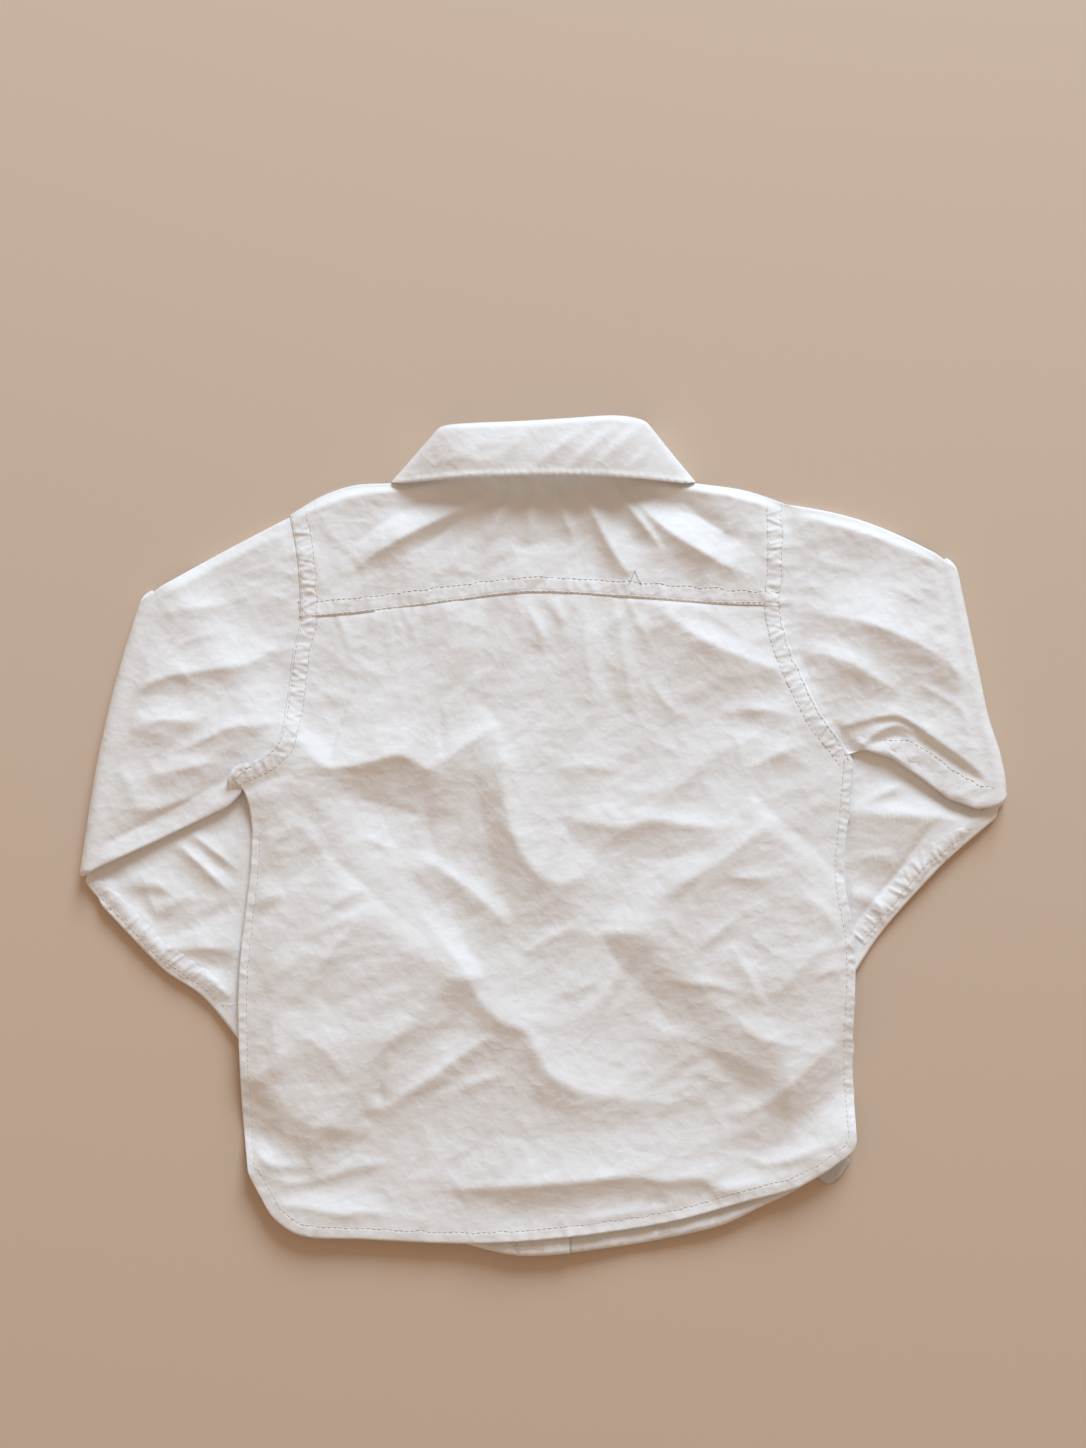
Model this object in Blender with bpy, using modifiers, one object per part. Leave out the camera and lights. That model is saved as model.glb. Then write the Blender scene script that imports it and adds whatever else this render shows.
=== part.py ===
"""A small child's white woven shirt, lying face down with its sleeves folded under it.

Lengths are in millimetres until a mesh is made. The origin is on the surface, under the
middle of the shirt's outline: +X is to the right of the back, +Y towards the collar, +Z up.
"""

import math
from collections import namedtuple

import bpy
import numpy as np

MM = 0.001

# Cloth and seams
WALL = 1.0
SEAM_GAP = 0.5
LAYER_GAP = 0.9
EDGE_GAP = 0.6
FELL_WIDTH = 8.0
FELL_STEP = 1.0
FELL_RAISE = 0.5

# Sleeves: each is a flattened tube that turns under itself along a straight fold
TUBE_HALF = 1.5
FOLD_RADIUS = 2.9
FOREARM_LIFT = 3.9
FOLD_LIFT = 2 * (FOLD_RADIUS + TUBE_HALF) - 2 * TUBE_HALF - FOREARM_LIFT
FOLD_REACH = 30.0
RIDGE_FADE = 12.0
CUFF_DEPTH = 35.0
CUFF_HALF = 1.6
CUFF_FLOOR = 1.7
CUFF_LIFT = 5.6
CUFF_RISE = 26.0
CUFF_RISE_START = 0.7
CUFF_BUTTON_PLACE = 0.2
DRAPE_RAMP = 24.0
DRAPE_MARGIN = 4.0

# Front bands and buttons
BAND_HALF = 12.0
BAND_RAMP = 30.0
BUTTONHOLE_BAND_Z = 1.7
BUTTON_BAND_Z = 3.0
BUTTON_RADIUS = 4.6
BUTTON_HEIGHT = 1.3
BUTTON_RIM = 1.1
BUTTON_DISH = 0.4
BUTTON_COUNT = 6
BUTTON_TOP_Y = 88.0
BUTTON_PITCH = 46.0
COLLAR_BUTTON_Y = 120.5

# Collar
COLLAR_LIFT = 1.6
NECK_Z = 5.6
NECK_REACH = 30.0
NECK_SEAM_GAP = 1.1
NECK_CORNER = 1.0

# How much the loose back stands off the fronts away from its edges
BACK_CROWN = 2.2
BACK_FADE = 20.0

# How closely curves are sampled, and how far a fold's ends are drawn out
CURVE_SAMPLES = 24
ARMHOLE_SAMPLES = 200
FOLD_SAMPLES = 40
FOLD_ENDS = (0.04, 0.96)
FOLD_END_POWER = 0.6
CORNER_SAMPLES = 4

Point = namedtuple("Point", "x y")
Fold = namedtuple("Fold", "x0 y0 x1 y1 x2 y2 width height")
Leaf = namedtuple("Leaf", "roll_x roll_y roll_z lift edge_x edge_y edge_z")
Stand = namedtuple("Stand", "neck_x neck_y neck_z top_x top_y top_z")
Sleeve = namedtuple(
    "Sleeve",
    "side armhole shoulder_end under_end elbow_edge cuff_top cuff_under shoulder_bow fold_bow",
)

# The outline, seen from above. The yoke seam ends at the third point of each armhole.
LEFT_ARMHOLE = (
    Point(-113.9, 143.1), Point(-110.5, 124), Point(-109.4, 98.1), Point(-112.6, 82),
    Point(-115.2, 62), Point(-119, 46), Point(-125.5, 33), Point(-130.1, 20),
)
RIGHT_ARMHOLE = (
    Point(108, 149.4), Point(108.6, 124), Point(107.1, 103.5), Point(110.5, 87),
    Point(117.9, 69.3), Point(126.5, 53), Point(134, 43), Point(139.5, 34),
)
LEFT_SIDE = (
    Point(-130.1, 20), Point(-131.9, -16.7), Point(-135.9, -51.3), Point(-137.3, -78),
    Point(-135.9, -116.6), Point(-132.8, -151.7),
)
RIGHT_SIDE = (
    Point(139.5, 34), Point(137.3, 8), Point(135.4, -17.6), Point(140.5, -52),
    Point(139.5, -101.3), Point(141, -137.3),
)
LEFT_SHOULDER = (
    Point(-113.9, 143.1), Point(-98.6, 151.6), Point(-84, 155.8), Point(-66.6, 156.8),
    Point(-50.5, 160.6),
)
RIGHT_SHOULDER = (
    Point(52.5, 160.6), Point(70, 156.6), Point(90, 153.8), Point(108, 149.4),
)
BACK_NECK = (Point(-50.5, 160.6), Point(-26, 166), Point(0, 167), Point(27, 166), Point(52.5, 160.6))
YOKE_SEAM = (
    Point(-109.4, 98.1), Point(-80, 100.6), Point(-37.8, 105.8), Point(-6, 109.4),
    Point(34.2, 107.6), Point(77, 104.4), Point(107.1, 103.5),
)
YOKE_END = 2
BACK_HEM = (
    Point(-132.8, -151.7), Point(-127.4, -163), Point(-121.5, -173), Point(-108, -180),
    Point(-81.9, -181.4), Point(-30.6, -183.4), Point(12, -180.6), Point(57, -173.8),
    Point(89, -165), Point(119.7, -157.5), Point(131.4, -148), Point(141, -137.3),
)
FRONT_HEM = (
    Point(-131.2, -151.7), Point(-125.8, -162.4), Point(-119.6, -172), Point(-107, -178.4),
    Point(-81.9, -179.8), Point(-45, -181.4), Point(-11.7, -189), Point(27.9, -185.6),
    Point(76.5, -176.4), Point(98, -167), Point(118.4, -156.4), Point(139.6, -137.3),
)
FRONT_NECK = (
    Point(-50.5, 160.6), Point(-49.8, 156), Point(-43.2, 140), Point(-27.6, 120.8), Point(-6, 112.2),
    Point(6, 112.2), Point(28.6, 120.8), Point(44.8, 140), Point(51.4, 156), Point(52.5, 160.6),
)
FRONT_TOP_Y = 111.3

# The two sleeves. Each has its armhole, the fold's two ends, the forearm's outer edge
# past the fold, the cuff's far edge under the body, and how far the shoulder line and the
# fold bow out from straight lines.
SLEEVES = (
    Sleeve(
        "left", LEFT_ARMHOLE, Point(-174.5, 109.5), Point(-202.8, -17.5),
        (Point(-186, -44), Point(-170, -60), Point(-152, -72.5)),
        Point(-52.7, -64.8), Point(-104.9, -122.9), 0.0, 3.5,
    ),
    Sleeve(
        "right", RIGHT_ARMHOLE, Point(180.5, 123.5), Point(202.8, 19),
        (Point(199, 4), Point(176.4, -16.2), Point(151.2, -42.8)),
        Point(52.7, -42.8), Point(110.3, -96.8), 4.0, 0.0,
    ),
)

# The largest folds, as ridges along a curve through three points
BACK_FOLDS = (
    Fold(-109, 41, -71, 39, -35, 28.8, 9, 5.0),
    Fold(-28.4, 52, -15, 18, 7.7, -24.3, 8, 5.0),
    Fold(-55.4, -31, -26, -58, -10, -92, 9, 5.5),
    Fold(-12, -88, 8, -114, 34.7, -123.3, 9, 6.0),
    Fold(-19.4, -91.8, -50.9, -105.3, -75.6, -123.3, 8, 4.5),
    Fold(-55, -152, 16, -154, 97, -157, 9, 6.0),
    Fold(64, 98, 84, 82, 106, 70, 8, 4.0),
    Fold(21, 2, 55, -4, 88, 12, 9, 3.5),
    Fold(44, -42, 62, -38, 82, -26, 8, 3.0),
    Fold(128, -96, 107, -123, 71, -137, 9, 4.0),
    Fold(5, 100, 4, 84, 6, 62, 5, 2.0),
    Fold(27, 100, 27, 82, 24, 58, 5, 2.0),
    Fold(44, 98, 46, 80, 50, 62, 5, 1.8),
    Fold(-96, -2, -80, -46, -84, -84, 10, 2.8),
    Fold(-116, -146, -96, -124, -88, -104, 8, 2.8),
)
SLEEVE_FOLDS = (
    Fold(-195, 43, -156, 62, -118, 84, 7, 2.6),
    Fold(-196, 14, -164, 27, -132, 42, 7, 2.4),
    Fold(122, 94, 150, 88, 186, 70, 7, 2.6),
    Fold(124, 74, 146, 64, 172, 54, 7, 2.4),
)

# The collar's leaf, from one point round the back of the neck to the other point
LEAF_STATIONS = (
    Leaf(-3, 131, 0.7, 0, -30, 90, 0.7),
    Leaf(-20, 139, 0.7, 0, -44, 110, 0.7),
    Leaf(-36, 156, 0.7, 0, -56, 134, 0.7),
    Leaf(-43.5, 170, 0.9, 0, -61, 148, 0.75),
    Leaf(-46, 178, 1.4, 0, -63.2, 159.2, 0.5),
    Leaf(-46.6, 181.5, 4.4, 0, -64.2, 160.4, 4.2),
    Leaf(-43.5, 184.4, 8.4, 1.2, -60, 160.6, 7.9),
    Leaf(-32, 185.6, 9.0, 2.0, -38, 161.8, 8.4),
    Leaf(-12, 186.8, 9.0, 2.2, -14, 163.2, 8.6),
    Leaf(10, 188, 9.0, 2.2, 10, 164.3, 8.6),
    Leaf(32, 188.6, 9.0, 2.0, 38, 162.8, 8.6),
    Leaf(44.5, 186.2, 8.6, 1.2, 63, 160.6, 7.9),
    Leaf(48.6, 182.5, 4.4, 0, 68, 160.2, 4.2),
    Leaf(48, 178.5, 1.4, 0, 66.8, 159.2, 0.5),
    Leaf(45.5, 170, 0.9, 0, 64, 148, 0.75),
    Leaf(37.5, 156, 0.7, 0, 57.5, 134, 0.7),
    Leaf(21, 139, 0.7, 0, 45, 110, 0.7),
    Leaf(3, 131, 0.7, 0, 30, 90, 0.7),
)
STAND_STATIONS = (
    Stand(9, 112.2, 3.6, 8, 129.4, 3.6),
    Stand(-6, 112.2, 3.5, -5, 129.6, 3.5),
    Stand(-27.6, 120.8, 2.4, -20, 137.6, 2.4),
    Stand(-43.2, 140, 2.2, -35, 154.6, 2.2),
    Stand(-49.8, 156, 2.4, -42, 170.6, 2.4),
    Stand(-51.6, 162, 4.3, -43.8, 179, 4.4),
    Stand(-45.4, 164.6, 6.3, -40, 181.8, 6.9),
    Stand(-25, 167.2, 6.4, -22, 183.2, 7.2),
    Stand(0, 168, 6.4, 0, 184.6, 7.2),
    Stand(27, 167.2, 6.4, 26, 185, 7.2),
    Stand(47.4, 164.6, 6.3, 42, 183, 6.9),
    Stand(53.6, 162, 4.3, 46.4, 179, 4.4),
    Stand(51.4, 156, 2.4, 44, 170.6, 2.4),
    Stand(44.8, 140, 2.2, 36.5, 154.6, 2.2),
    Stand(28.6, 120.8, 2.2, 21, 137.6, 2.2),
    Stand(6, 112.2, 2.3, 5, 129.6, 2.3),
    Stand(-9, 112.2, 2.3, -8, 129.4, 2.3),
)
COLLAR_UNDERLAY = (
    (Point(0, 136), Point(-30, 88), Point(-64, 150), Point(-64, 160), Point(-45, 185), Point(0, 185)),
    (Point(0, 136), Point(30, 88), Point(67, 150), Point(67, 160), Point(47, 185), Point(0, 185)),
)

# The blank care label, past the hem at the end of the right side seam
LABEL_HEM_EDGE = (Point(121.8, -155), Point(136.6, -141.9))
LABEL_FREE_EDGE = (Point(127, -158.6), Point(139.4, -146))
LABEL_CELLS = (2, 1)

# Cells of each panel, across and down
BACK_CELLS = (26, 26)
YOKE_CELLS = (24, 7)
FRONT_CELLS = (11, 24)
BAND_CELLS = (2, 16)
SLEEVE_ACROSS = 9
SLEEVE_ROUND = 3
ARM_RINGS = 6
TURN_RINGS = 6
FOREARM_RINGS = 7
CUFF_RINGS = 2
LEAF_CELLS = (44, 4)
STAND_CELLS = (40, 2)
BUTTON_SIDES = 18

Finish = namedtuple("Finish", "colour roughness")
POPLIN = Finish((0.86, 0.85, 0.83, 1), 0.85)
BUTTON = Finish((0.90, 0.89, 0.86, 1), 0.35)
LABEL = Finish((0.55, 0.57, 0.58, 1), 0.7)


def smooth(value):
    """0 below 0, 1 above 1, and an eased step between."""
    value = np.clip(value, 0, 1)
    return value * value * (3 - 2 * value)


def spline(points):
    """A smooth curve through the points, as many close samples with the same columns."""
    points = np.array(points, float)
    step = np.sqrt(np.linalg.norm(np.diff(points, axis=0), axis=1))
    at = np.concatenate([[0], np.cumsum(step)])
    slope = np.empty_like(points)
    slope[1:-1] = (points[2:] - points[:-2]) / (at[2:] - at[:-2])[:, None]
    slope[0] = (points[1] - points[0]) / step[0]
    slope[-1] = (points[-1] - points[-2]) / step[-1]
    samples = []
    for i, span in enumerate(step):
        t = np.linspace(0, 1, CURVE_SAMPLES, endpoint=False)[:, None]
        samples.append(
            (2 * t**3 - 3 * t**2 + 1) * points[i]
            + (t**3 - 2 * t**2 + t) * span * slope[i]
            + (3 * t**2 - 2 * t**3) * points[i + 1]
            + (t**3 - t**2) * span * slope[i + 1]
        )
    samples.append(points[-1:])
    return np.concatenate(samples)


def spaced(line, count):
    """The line resampled to count points that are evenly spaced along it."""
    at = np.concatenate([[0], np.cumsum(np.linalg.norm(np.diff(line, axis=0), axis=1))])
    wanted = np.linspace(0, at[-1], count)
    return np.stack([np.interp(wanted, at, column) for column in line.T], axis=1)


def above_yoke_seam(armhole):
    """The armhole from the shoulder to the yoke seam."""
    line = spline(armhole)
    return line[line[:, 1] >= armhole[YOKE_END].y]


def below_yoke_seam(armhole):
    """The armhole from just below the yoke seam to the underarm."""
    line = spline(armhole)
    return line[line[:, 1] <= armhole[YOKE_END].y - SEAM_GAP]


def patch(top, bottom, left, right, cells):
    """A Coons patch: rows run from top to bottom, columns from left to right."""
    columns, rows = cells[0] + 1, cells[1] + 1
    top, bottom = spaced(top, columns)[None], spaced(bottom, columns)[None]
    left, right = spaced(left, rows)[:, None], spaced(right, rows)[:, None]
    u = np.linspace(0, 1, columns)[None, :, None]
    v = np.linspace(0, 1, rows)[:, None, None]
    corners = (
        (1 - v) * ((1 - u) * top[:, :1] + u * top[:, -1:])
        + v * ((1 - u) * bottom[:, :1] + u * bottom[:, -1:])
    )
    return (1 - v) * top + v * bottom + (1 - u) * left + u * right - corners


def depth_in(x, y, corners):
    """How far inside a convex outline a place is, and below zero outside it."""
    corners = np.array(corners, float)
    centre = corners.mean(axis=0)
    depth = np.full(np.shape(x), np.inf)
    for start, end in zip(corners, np.roll(corners, -1, axis=0)):
        along = (end - start) / np.linalg.norm(end - start)
        inward = np.array([-along[1], along[0]])
        inward *= np.sign(inward @ (centre - start))
        depth = np.minimum(depth, (x - start[0]) * inward[0] + (y - start[1]) * inward[1])
    return depth


def distance_to(x, y, line):
    """The distance from each place to a line of close samples."""
    flat = np.stack([np.ravel(x), np.ravel(y)], axis=1)
    gaps = np.linalg.norm(flat[:, None] - line[None, :, :2], axis=2)
    return gaps.min(axis=1).reshape(np.shape(x))


def ridges(x, y, folds):
    """The height of the folds at each place: soft ridges that die out at their ends."""
    total = np.zeros(np.shape(x))
    flat = np.stack([np.ravel(x), np.ravel(y)], axis=1)
    t = np.linspace(0, 1, FOLD_SAMPLES)
    ends = np.sin(np.pi * np.clip(t, *FOLD_ENDS)) ** FOLD_END_POWER
    for fold in folds:
        start, middle, end = np.array(fold[:6], float).reshape(3, 2)
        pull = 2 * middle - (start + end) / 2
        line = np.outer((1 - t) ** 2, start) + np.outer(2 * t * (1 - t), pull) + np.outer(t**2, end)
        gaps = np.linalg.norm(flat[:, None] - line[None], axis=2)
        near = gaps.argmin(axis=1)
        across = gaps[np.arange(len(flat)), near] / fold.width
        height = fold.height * ends[near] * np.exp(-(across**2))
        total = np.maximum(total, height.reshape(np.shape(x)))
    return total


def fold_ends(sleeve):
    """The fold's end at the shoulder line and its end at the underarm seam."""
    return np.array(sleeve.shoulder_end), np.array(sleeve.under_end)


def away_from_body(sleeve):
    """The direction across the fold, away from the body."""
    start, end = fold_ends(sleeve)
    along = (end - start) / np.linalg.norm(end - start)
    outward = np.array([-along[1], along[0]])
    return outward * np.sign(outward[0] * start[0])


def back_from_cuff(sleeve, distance):
    """The two ends of a line across the forearm, this far back from the cuff's far edge."""
    top, under = np.array(sleeve.cuff_top), np.array(sleeve.cuff_under)
    across = (under - top) / np.linalg.norm(under - top)
    back = np.array([-across[1], across[0]])
    back *= np.sign(back @ (np.array(sleeve.under_end) - under))
    return top + back * distance, under + back * distance


def cuff_seam(sleeve):
    """The two ends of the seam between the sleeve and its cuff."""
    return back_from_cuff(sleeve, CUFF_DEPTH)


def plateau(depth):
    """1 on and just outside an outline, easing to 0 over the drape's ramp."""
    return smooth(1 + (depth + DRAPE_MARGIN) / DRAPE_RAMP)


def sleeve_lift(x, y):
    """How high the forearms and cuffs lift the cloth that lies on them."""
    lift = np.zeros(np.shape(x))
    for sleeve in SLEEVES:
        rise_top, rise_under = back_from_cuff(sleeve, CUFF_DEPTH + CUFF_RISE)
        forearm = (sleeve.shoulder_end, sleeve.under_end, sleeve.cuff_under, sleeve.cuff_top)
        cuff = (rise_top, rise_under, sleeve.cuff_under, sleeve.cuff_top)
        lift = np.maximum(lift, FOREARM_LIFT * plateau(depth_in(x, y, forearm)))
        lift = np.maximum(lift, CUFF_LIFT * plateau(depth_in(x, y, cuff)))
    return lift


def collar_lift(x, y):
    """How high the collar's points lift the fronts."""
    return COLLAR_LIFT * np.maximum(*(plateau(depth_in(x, y, side)) for side in COLLAR_UNDERLAY))


def front_bottom(x, y, band_z):
    """The underside of a front: on the surface, or over the sleeves, collar and band."""
    band = band_z * smooth(1 - (np.abs(x) - BAND_HALF) / BAND_RAMP)
    band *= smooth(1 + (FRONT_TOP_Y - y) / BAND_RAMP)
    return np.maximum(np.maximum(sleeve_lift(x, y), collar_lift(x, y)), band)


def back_bottom(x, y, edge, folds=()):
    """The underside of the back or yoke, over the fronts, close to them at its edges."""
    away = smooth(distance_to(x, y, edge) / BACK_FADE)
    loose = EDGE_GAP + (LAYER_GAP - EDGE_GAP + BACK_CROWN) * away
    ridge = ridges(x, y, folds) * smooth(distance_to(x, y, edge) / (BACK_FADE / 2))
    height = front_bottom(x, y, BUTTON_BAND_Z) + WALL + loose + ridge
    at_neck = smooth(1 - distance_to(x, y, spline(BACK_NECK)) / NECK_REACH)
    return height + (NECK_Z - height) * at_neck


def finish_material(name, finish):
    material = bpy.data.materials.new(name)
    material.use_nodes = True
    shader = material.node_tree.nodes["Principled BSDF"]
    shader.inputs["Base Color"].default_value = finish.colour
    shader.inputs["Roughness"].default_value = finish.roughness
    shader.inputs["Metallic"].default_value = 0.0
    return material


def grid_faces(rows, columns, closed):
    """Quads over rows of points. A closed grid's last column meets its first."""
    faces = []
    for row in range(rows - 1):
        for column in range(columns if closed else columns - 1):
            after = (column + 1) % columns
            near, far = row * columns, (row + 1) * columns
            faces.append((near + column, far + column, far + after, near + after))
    return faces


def make_object(name, points, faces, finish, collection, turn=False):
    """A mesh object from points in millimetres, smooth but for its sharp edges."""
    mesh = bpy.data.meshes.new(name)
    if turn:
        faces = [face[::-1] for face in faces]
    mesh.from_pydata((np.array(points) * MM).tolist(), [], faces)
    mesh.shade_smooth()
    mesh.materials.append(finish_material(name, finish))
    obj = bpy.data.objects.new(name, mesh)
    collection.objects.link(obj)
    return obj


def thicken(obj, offset, thickness=WALL):
    """A wall from an open surface: offset 1 grows it outwards, -1 inwards."""
    wall = obj.modifiers.new("wall", "SOLIDIFY")
    wall.thickness = thickness * MM
    wall.offset = offset
    return wall


def panel(name, plan, height, collection, finish=POPLIN, fell=None):
    """A wall over a grid of places, standing on the given underside heights. Where fell is
    1, the wall is thicker by the raise of a felled seam."""
    rows, columns = plan.shape[:2]
    points = np.concatenate([plan, height[..., None]], axis=2).reshape(-1, 3)
    obj = make_object(name, points, grid_faces(rows, columns, False), finish, collection)
    if fell is None:
        thicken(obj, 1)
        return
    share = (WALL + FELL_RAISE * fell) / (WALL + FELL_RAISE)
    raised = obj.vertex_groups.new(name="fell")
    for index, weight in enumerate(share.ravel()):
        raised.add([index], float(weight), "REPLACE")
    thicken(obj, 1, WALL + FELL_RAISE).vertex_group = raised.name


def with_side_fells(plan):
    """The grid with two more columns inside each side, where its felled seam ends, and
    the share of the seam's raise at each place."""
    left, right = plan[:, 0], plan[:, -1]
    across = (right - left) / np.linalg.norm(right - left, axis=1)[:, None]
    near, past = across * FELL_WIDTH, across * (FELL_WIDTH + FELL_STEP)
    inner = plan[:, 2:-2]
    columns = [left, left + near, left + past, *np.moveaxis(inner, 1, 0)]
    columns += [right - past, right - near, right]
    fell = np.zeros((len(plan), len(columns)))
    fell[:, [0, 1, -2, -1]] = 1
    return np.stack(columns, axis=1), fell


def add_back(collection):
    left = np.concatenate([below_yoke_seam(LEFT_ARMHOLE), spline(LEFT_SIDE)])
    right = np.concatenate([below_yoke_seam(RIGHT_ARMHOLE), spline(RIGHT_SIDE)])
    top = spline(YOKE_SEAM) - [0, SEAM_GAP]
    hem = spline(BACK_HEM)
    edge = np.concatenate([spline(LEFT_SIDE), hem, spline(RIGHT_SIDE)])
    plan, fell = with_side_fells(patch(top, hem, left, right, BACK_CELLS))
    height = back_bottom(plan[..., 0], plan[..., 1], edge, BACK_FOLDS)
    panel("back", plan, height, collection, fell=fell)


def add_yoke(collection):
    """The yoke, whose lowest strip is the felled seam and stands proud of it."""
    left, right = above_yoke_seam(LEFT_ARMHOLE), above_yoke_seam(RIGHT_ARMHOLE)
    top = np.concatenate([spline(LEFT_SHOULDER), spline(BACK_NECK), spline(RIGHT_SHOULDER)])
    edge = np.concatenate([spline(LEFT_SHOULDER), spline(RIGHT_SHOULDER)])
    plan = patch(top, spline(YOKE_SEAM), left, right, YOKE_CELLS)
    seam_top = plan[-1:] + [0, FELL_WIDTH]
    plan = np.concatenate([plan[:-2], seam_top + [0, FELL_STEP], seam_top, plan[-1:]])
    plan, fell = with_side_fells(plan)
    fell[-2:] = 1
    height = back_bottom(plan[..., 0], plan[..., 1], edge)
    panel("yoke", plan, height, collection, fell=fell)


def clear_of_stand(neck, inner_x):
    """Half of the neckline, moved out from the stand's seam and ended at the band."""
    along = np.gradient(neck, axis=0)
    outward = np.stack([along[:, 1], -along[:, 0]], axis=1)
    outward /= np.linalg.norm(outward, axis=1)[:, None]
    line = neck + outward * NECK_SEAM_GAP
    return line[np.abs(line[:, 0]) >= abs(inner_x)]


def add_front(side, collection):
    """One front, from its shoulder, armhole and side to the edge of its band."""
    sign, band_z = (-1, BUTTON_BAND_Z) if side == "left" else (1, BUTTONHOLE_BAND_Z)
    hem = spline(FRONT_HEM)
    inner_x = sign * (BAND_HALF + SEAM_GAP)
    hem = hem[hem[:, 0] * sign >= BAND_HALF + SEAM_GAP]
    hem_y = hem[-1, 1] if sign < 0 else hem[0, 1]
    centre = np.array([(inner_x, FRONT_TOP_Y), (inner_x, hem_y)])
    neck = spline(FRONT_NECK)
    middle = len(neck) // 2
    if sign < 0:
        neck_line = clear_of_stand(neck[:middle], inner_x)
        shoulder = spline(LEFT_SHOULDER)
        shoulder = shoulder[shoulder[:, 0] < neck_line[0, 0] - NECK_CORNER]
        top = np.concatenate([shoulder, neck_line])
        outer = np.concatenate([spline(LEFT_ARMHOLE), spline(LEFT_SIDE)[:-CORNER_SAMPLES], hem[:1]])
        plan = patch(top, hem, outer, centre, FRONT_CELLS)
    else:
        neck_line = clear_of_stand(neck[middle:], inner_x)
        shoulder = spline(RIGHT_SHOULDER)
        shoulder = shoulder[shoulder[:, 0] > neck_line[-1, 0] + NECK_CORNER]
        top = np.concatenate([neck_line, shoulder])
        outer = np.concatenate([spline(RIGHT_ARMHOLE), spline(RIGHT_SIDE)[:-CORNER_SAMPLES], hem[-1:]])
        plan = patch(top, hem, centre, outer, FRONT_CELLS)
    height = front_bottom(plan[..., 0], plan[..., 1], band_z)
    panel(f"front_{side}", plan, height, collection)


def add_band(name, band_z, collection):
    """One of the two bands that overlap down the front."""
    hem_y = np.interp(0, *spline(FRONT_HEM).T)
    y = np.linspace(FRONT_TOP_Y - SEAM_GAP, hem_y, BAND_CELLS[1] + 1)
    x = np.linspace(-BAND_HALF, BAND_HALF, BAND_CELLS[0] + 1)
    plan = np.stack(np.meshgrid(x, y), axis=2)
    panel(name, plan, np.full(plan.shape[:2], band_z), collection)


def oval(half, width):
    """One turn of a flattened tube: the place across it from 0 to 1, and the height from
    -1 to 1. It starts on the top edge, runs over the upper layer and back under."""
    inset = half / width
    fell = 1 - inset - np.array([FELL_WIDTH, FELL_WIDTH + FELL_STEP]) / width
    across = np.concatenate([np.linspace(inset, fell[1], SLEEVE_ACROSS), [fell[0], 1 - inset]])
    turn = np.linspace(math.pi / 2, -math.pi / 2, SLEEVE_ROUND + 2)[1:-1]
    far = np.stack([1 - inset + inset * np.cos(turn), np.sin(turn)], axis=1)
    near = np.stack([inset - inset * np.cos(turn), -np.sin(turn)], axis=1)
    upper = np.stack([across, np.ones_like(across)], axis=1)
    lower = np.stack([across[::-1], -np.ones_like(across)], axis=1)
    return np.concatenate([upper, far, lower, near])


def under_fell(ring):
    """1 on the ring's lower layer within the felled underarm seam, whose two places are
    the last ones across that layer."""
    lower = ring[:, 1] == -1
    seam_start = np.sort(ring[lower, 0])[-2]
    return (lower & (ring[:, 0] >= seam_start)).astype(float)


def ring_line(top, under, bow, outward, places):
    """Places across a ring, from its top edge to its underarm edge, bowed outwards."""
    line = top + np.outer(places, under - top)
    return line + np.outer(np.sin(np.pi * places), outward) * bow


def armhole_line(sleeve, places, clear):
    """The armhole's own curve, at the given places along it."""
    line = spaced(spline(sleeve.armhole), ARMHOLE_SAMPLES)
    at = np.linspace(0, 1, ARMHOLE_SAMPLES)
    return np.stack([np.interp(places, at, column) for column in line.T], axis=1) + clear


def lay_ring(ring, line, start, outward):
    """A ring of the upper arm, lying on what is beneath it, with its folds."""
    lift = sleeve_lift(line[:, 0], line[:, 1])
    inside = (line - start) @ outward
    lift = lift + FOLD_LIFT * smooth(1 + inside / FOLD_REACH)
    ridge = ridges(line[:, 0], line[:, 1], SLEEVE_FOLDS)
    away = smooth(-inside / RIDGE_FADE)
    height = lift + TUBE_HALF * (1 + ring[:, 1]) + ridge * away * (ring[:, 1] == 1)
    return np.column_stack([line, height])


def turn_ring(ring, line, angle, outward):
    """A ring of the turn round the fold, at an angle from 0, above, to pi, below."""
    radius = FOLD_RADIUS + TUBE_HALF * ring[:, 1]
    centre = FOLD_RADIUS + TUBE_HALF
    plan = line + np.outer(radius * math.sin(angle), outward)
    return np.column_stack([plan, centre + radius * math.cos(angle)])


def arm_rings(sleeve):
    """The rings from the armhole to the fold, between two lines: the armhole's curve and
    the fold's."""
    outward = away_from_body(sleeve)
    clear = outward * SEAM_GAP
    fold_top, fold_under = fold_ends(sleeve)
    for t in np.linspace(0, 1, ARM_RINGS):
        ring = oval(TUBE_HALF, np.linalg.norm(fold_under - fold_top))
        first = armhole_line(sleeve, ring[:, 0], clear)
        last = ring_line(fold_top, fold_under, sleeve.fold_bow, outward, ring[:, 0])
        line = first + (last - first) * t
        line[:, 1] += sleeve.shoulder_bow * math.sin(math.pi * t) * (1 - ring[:, 0])
        yield lay_ring(ring, line, fold_top, outward)


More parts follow.
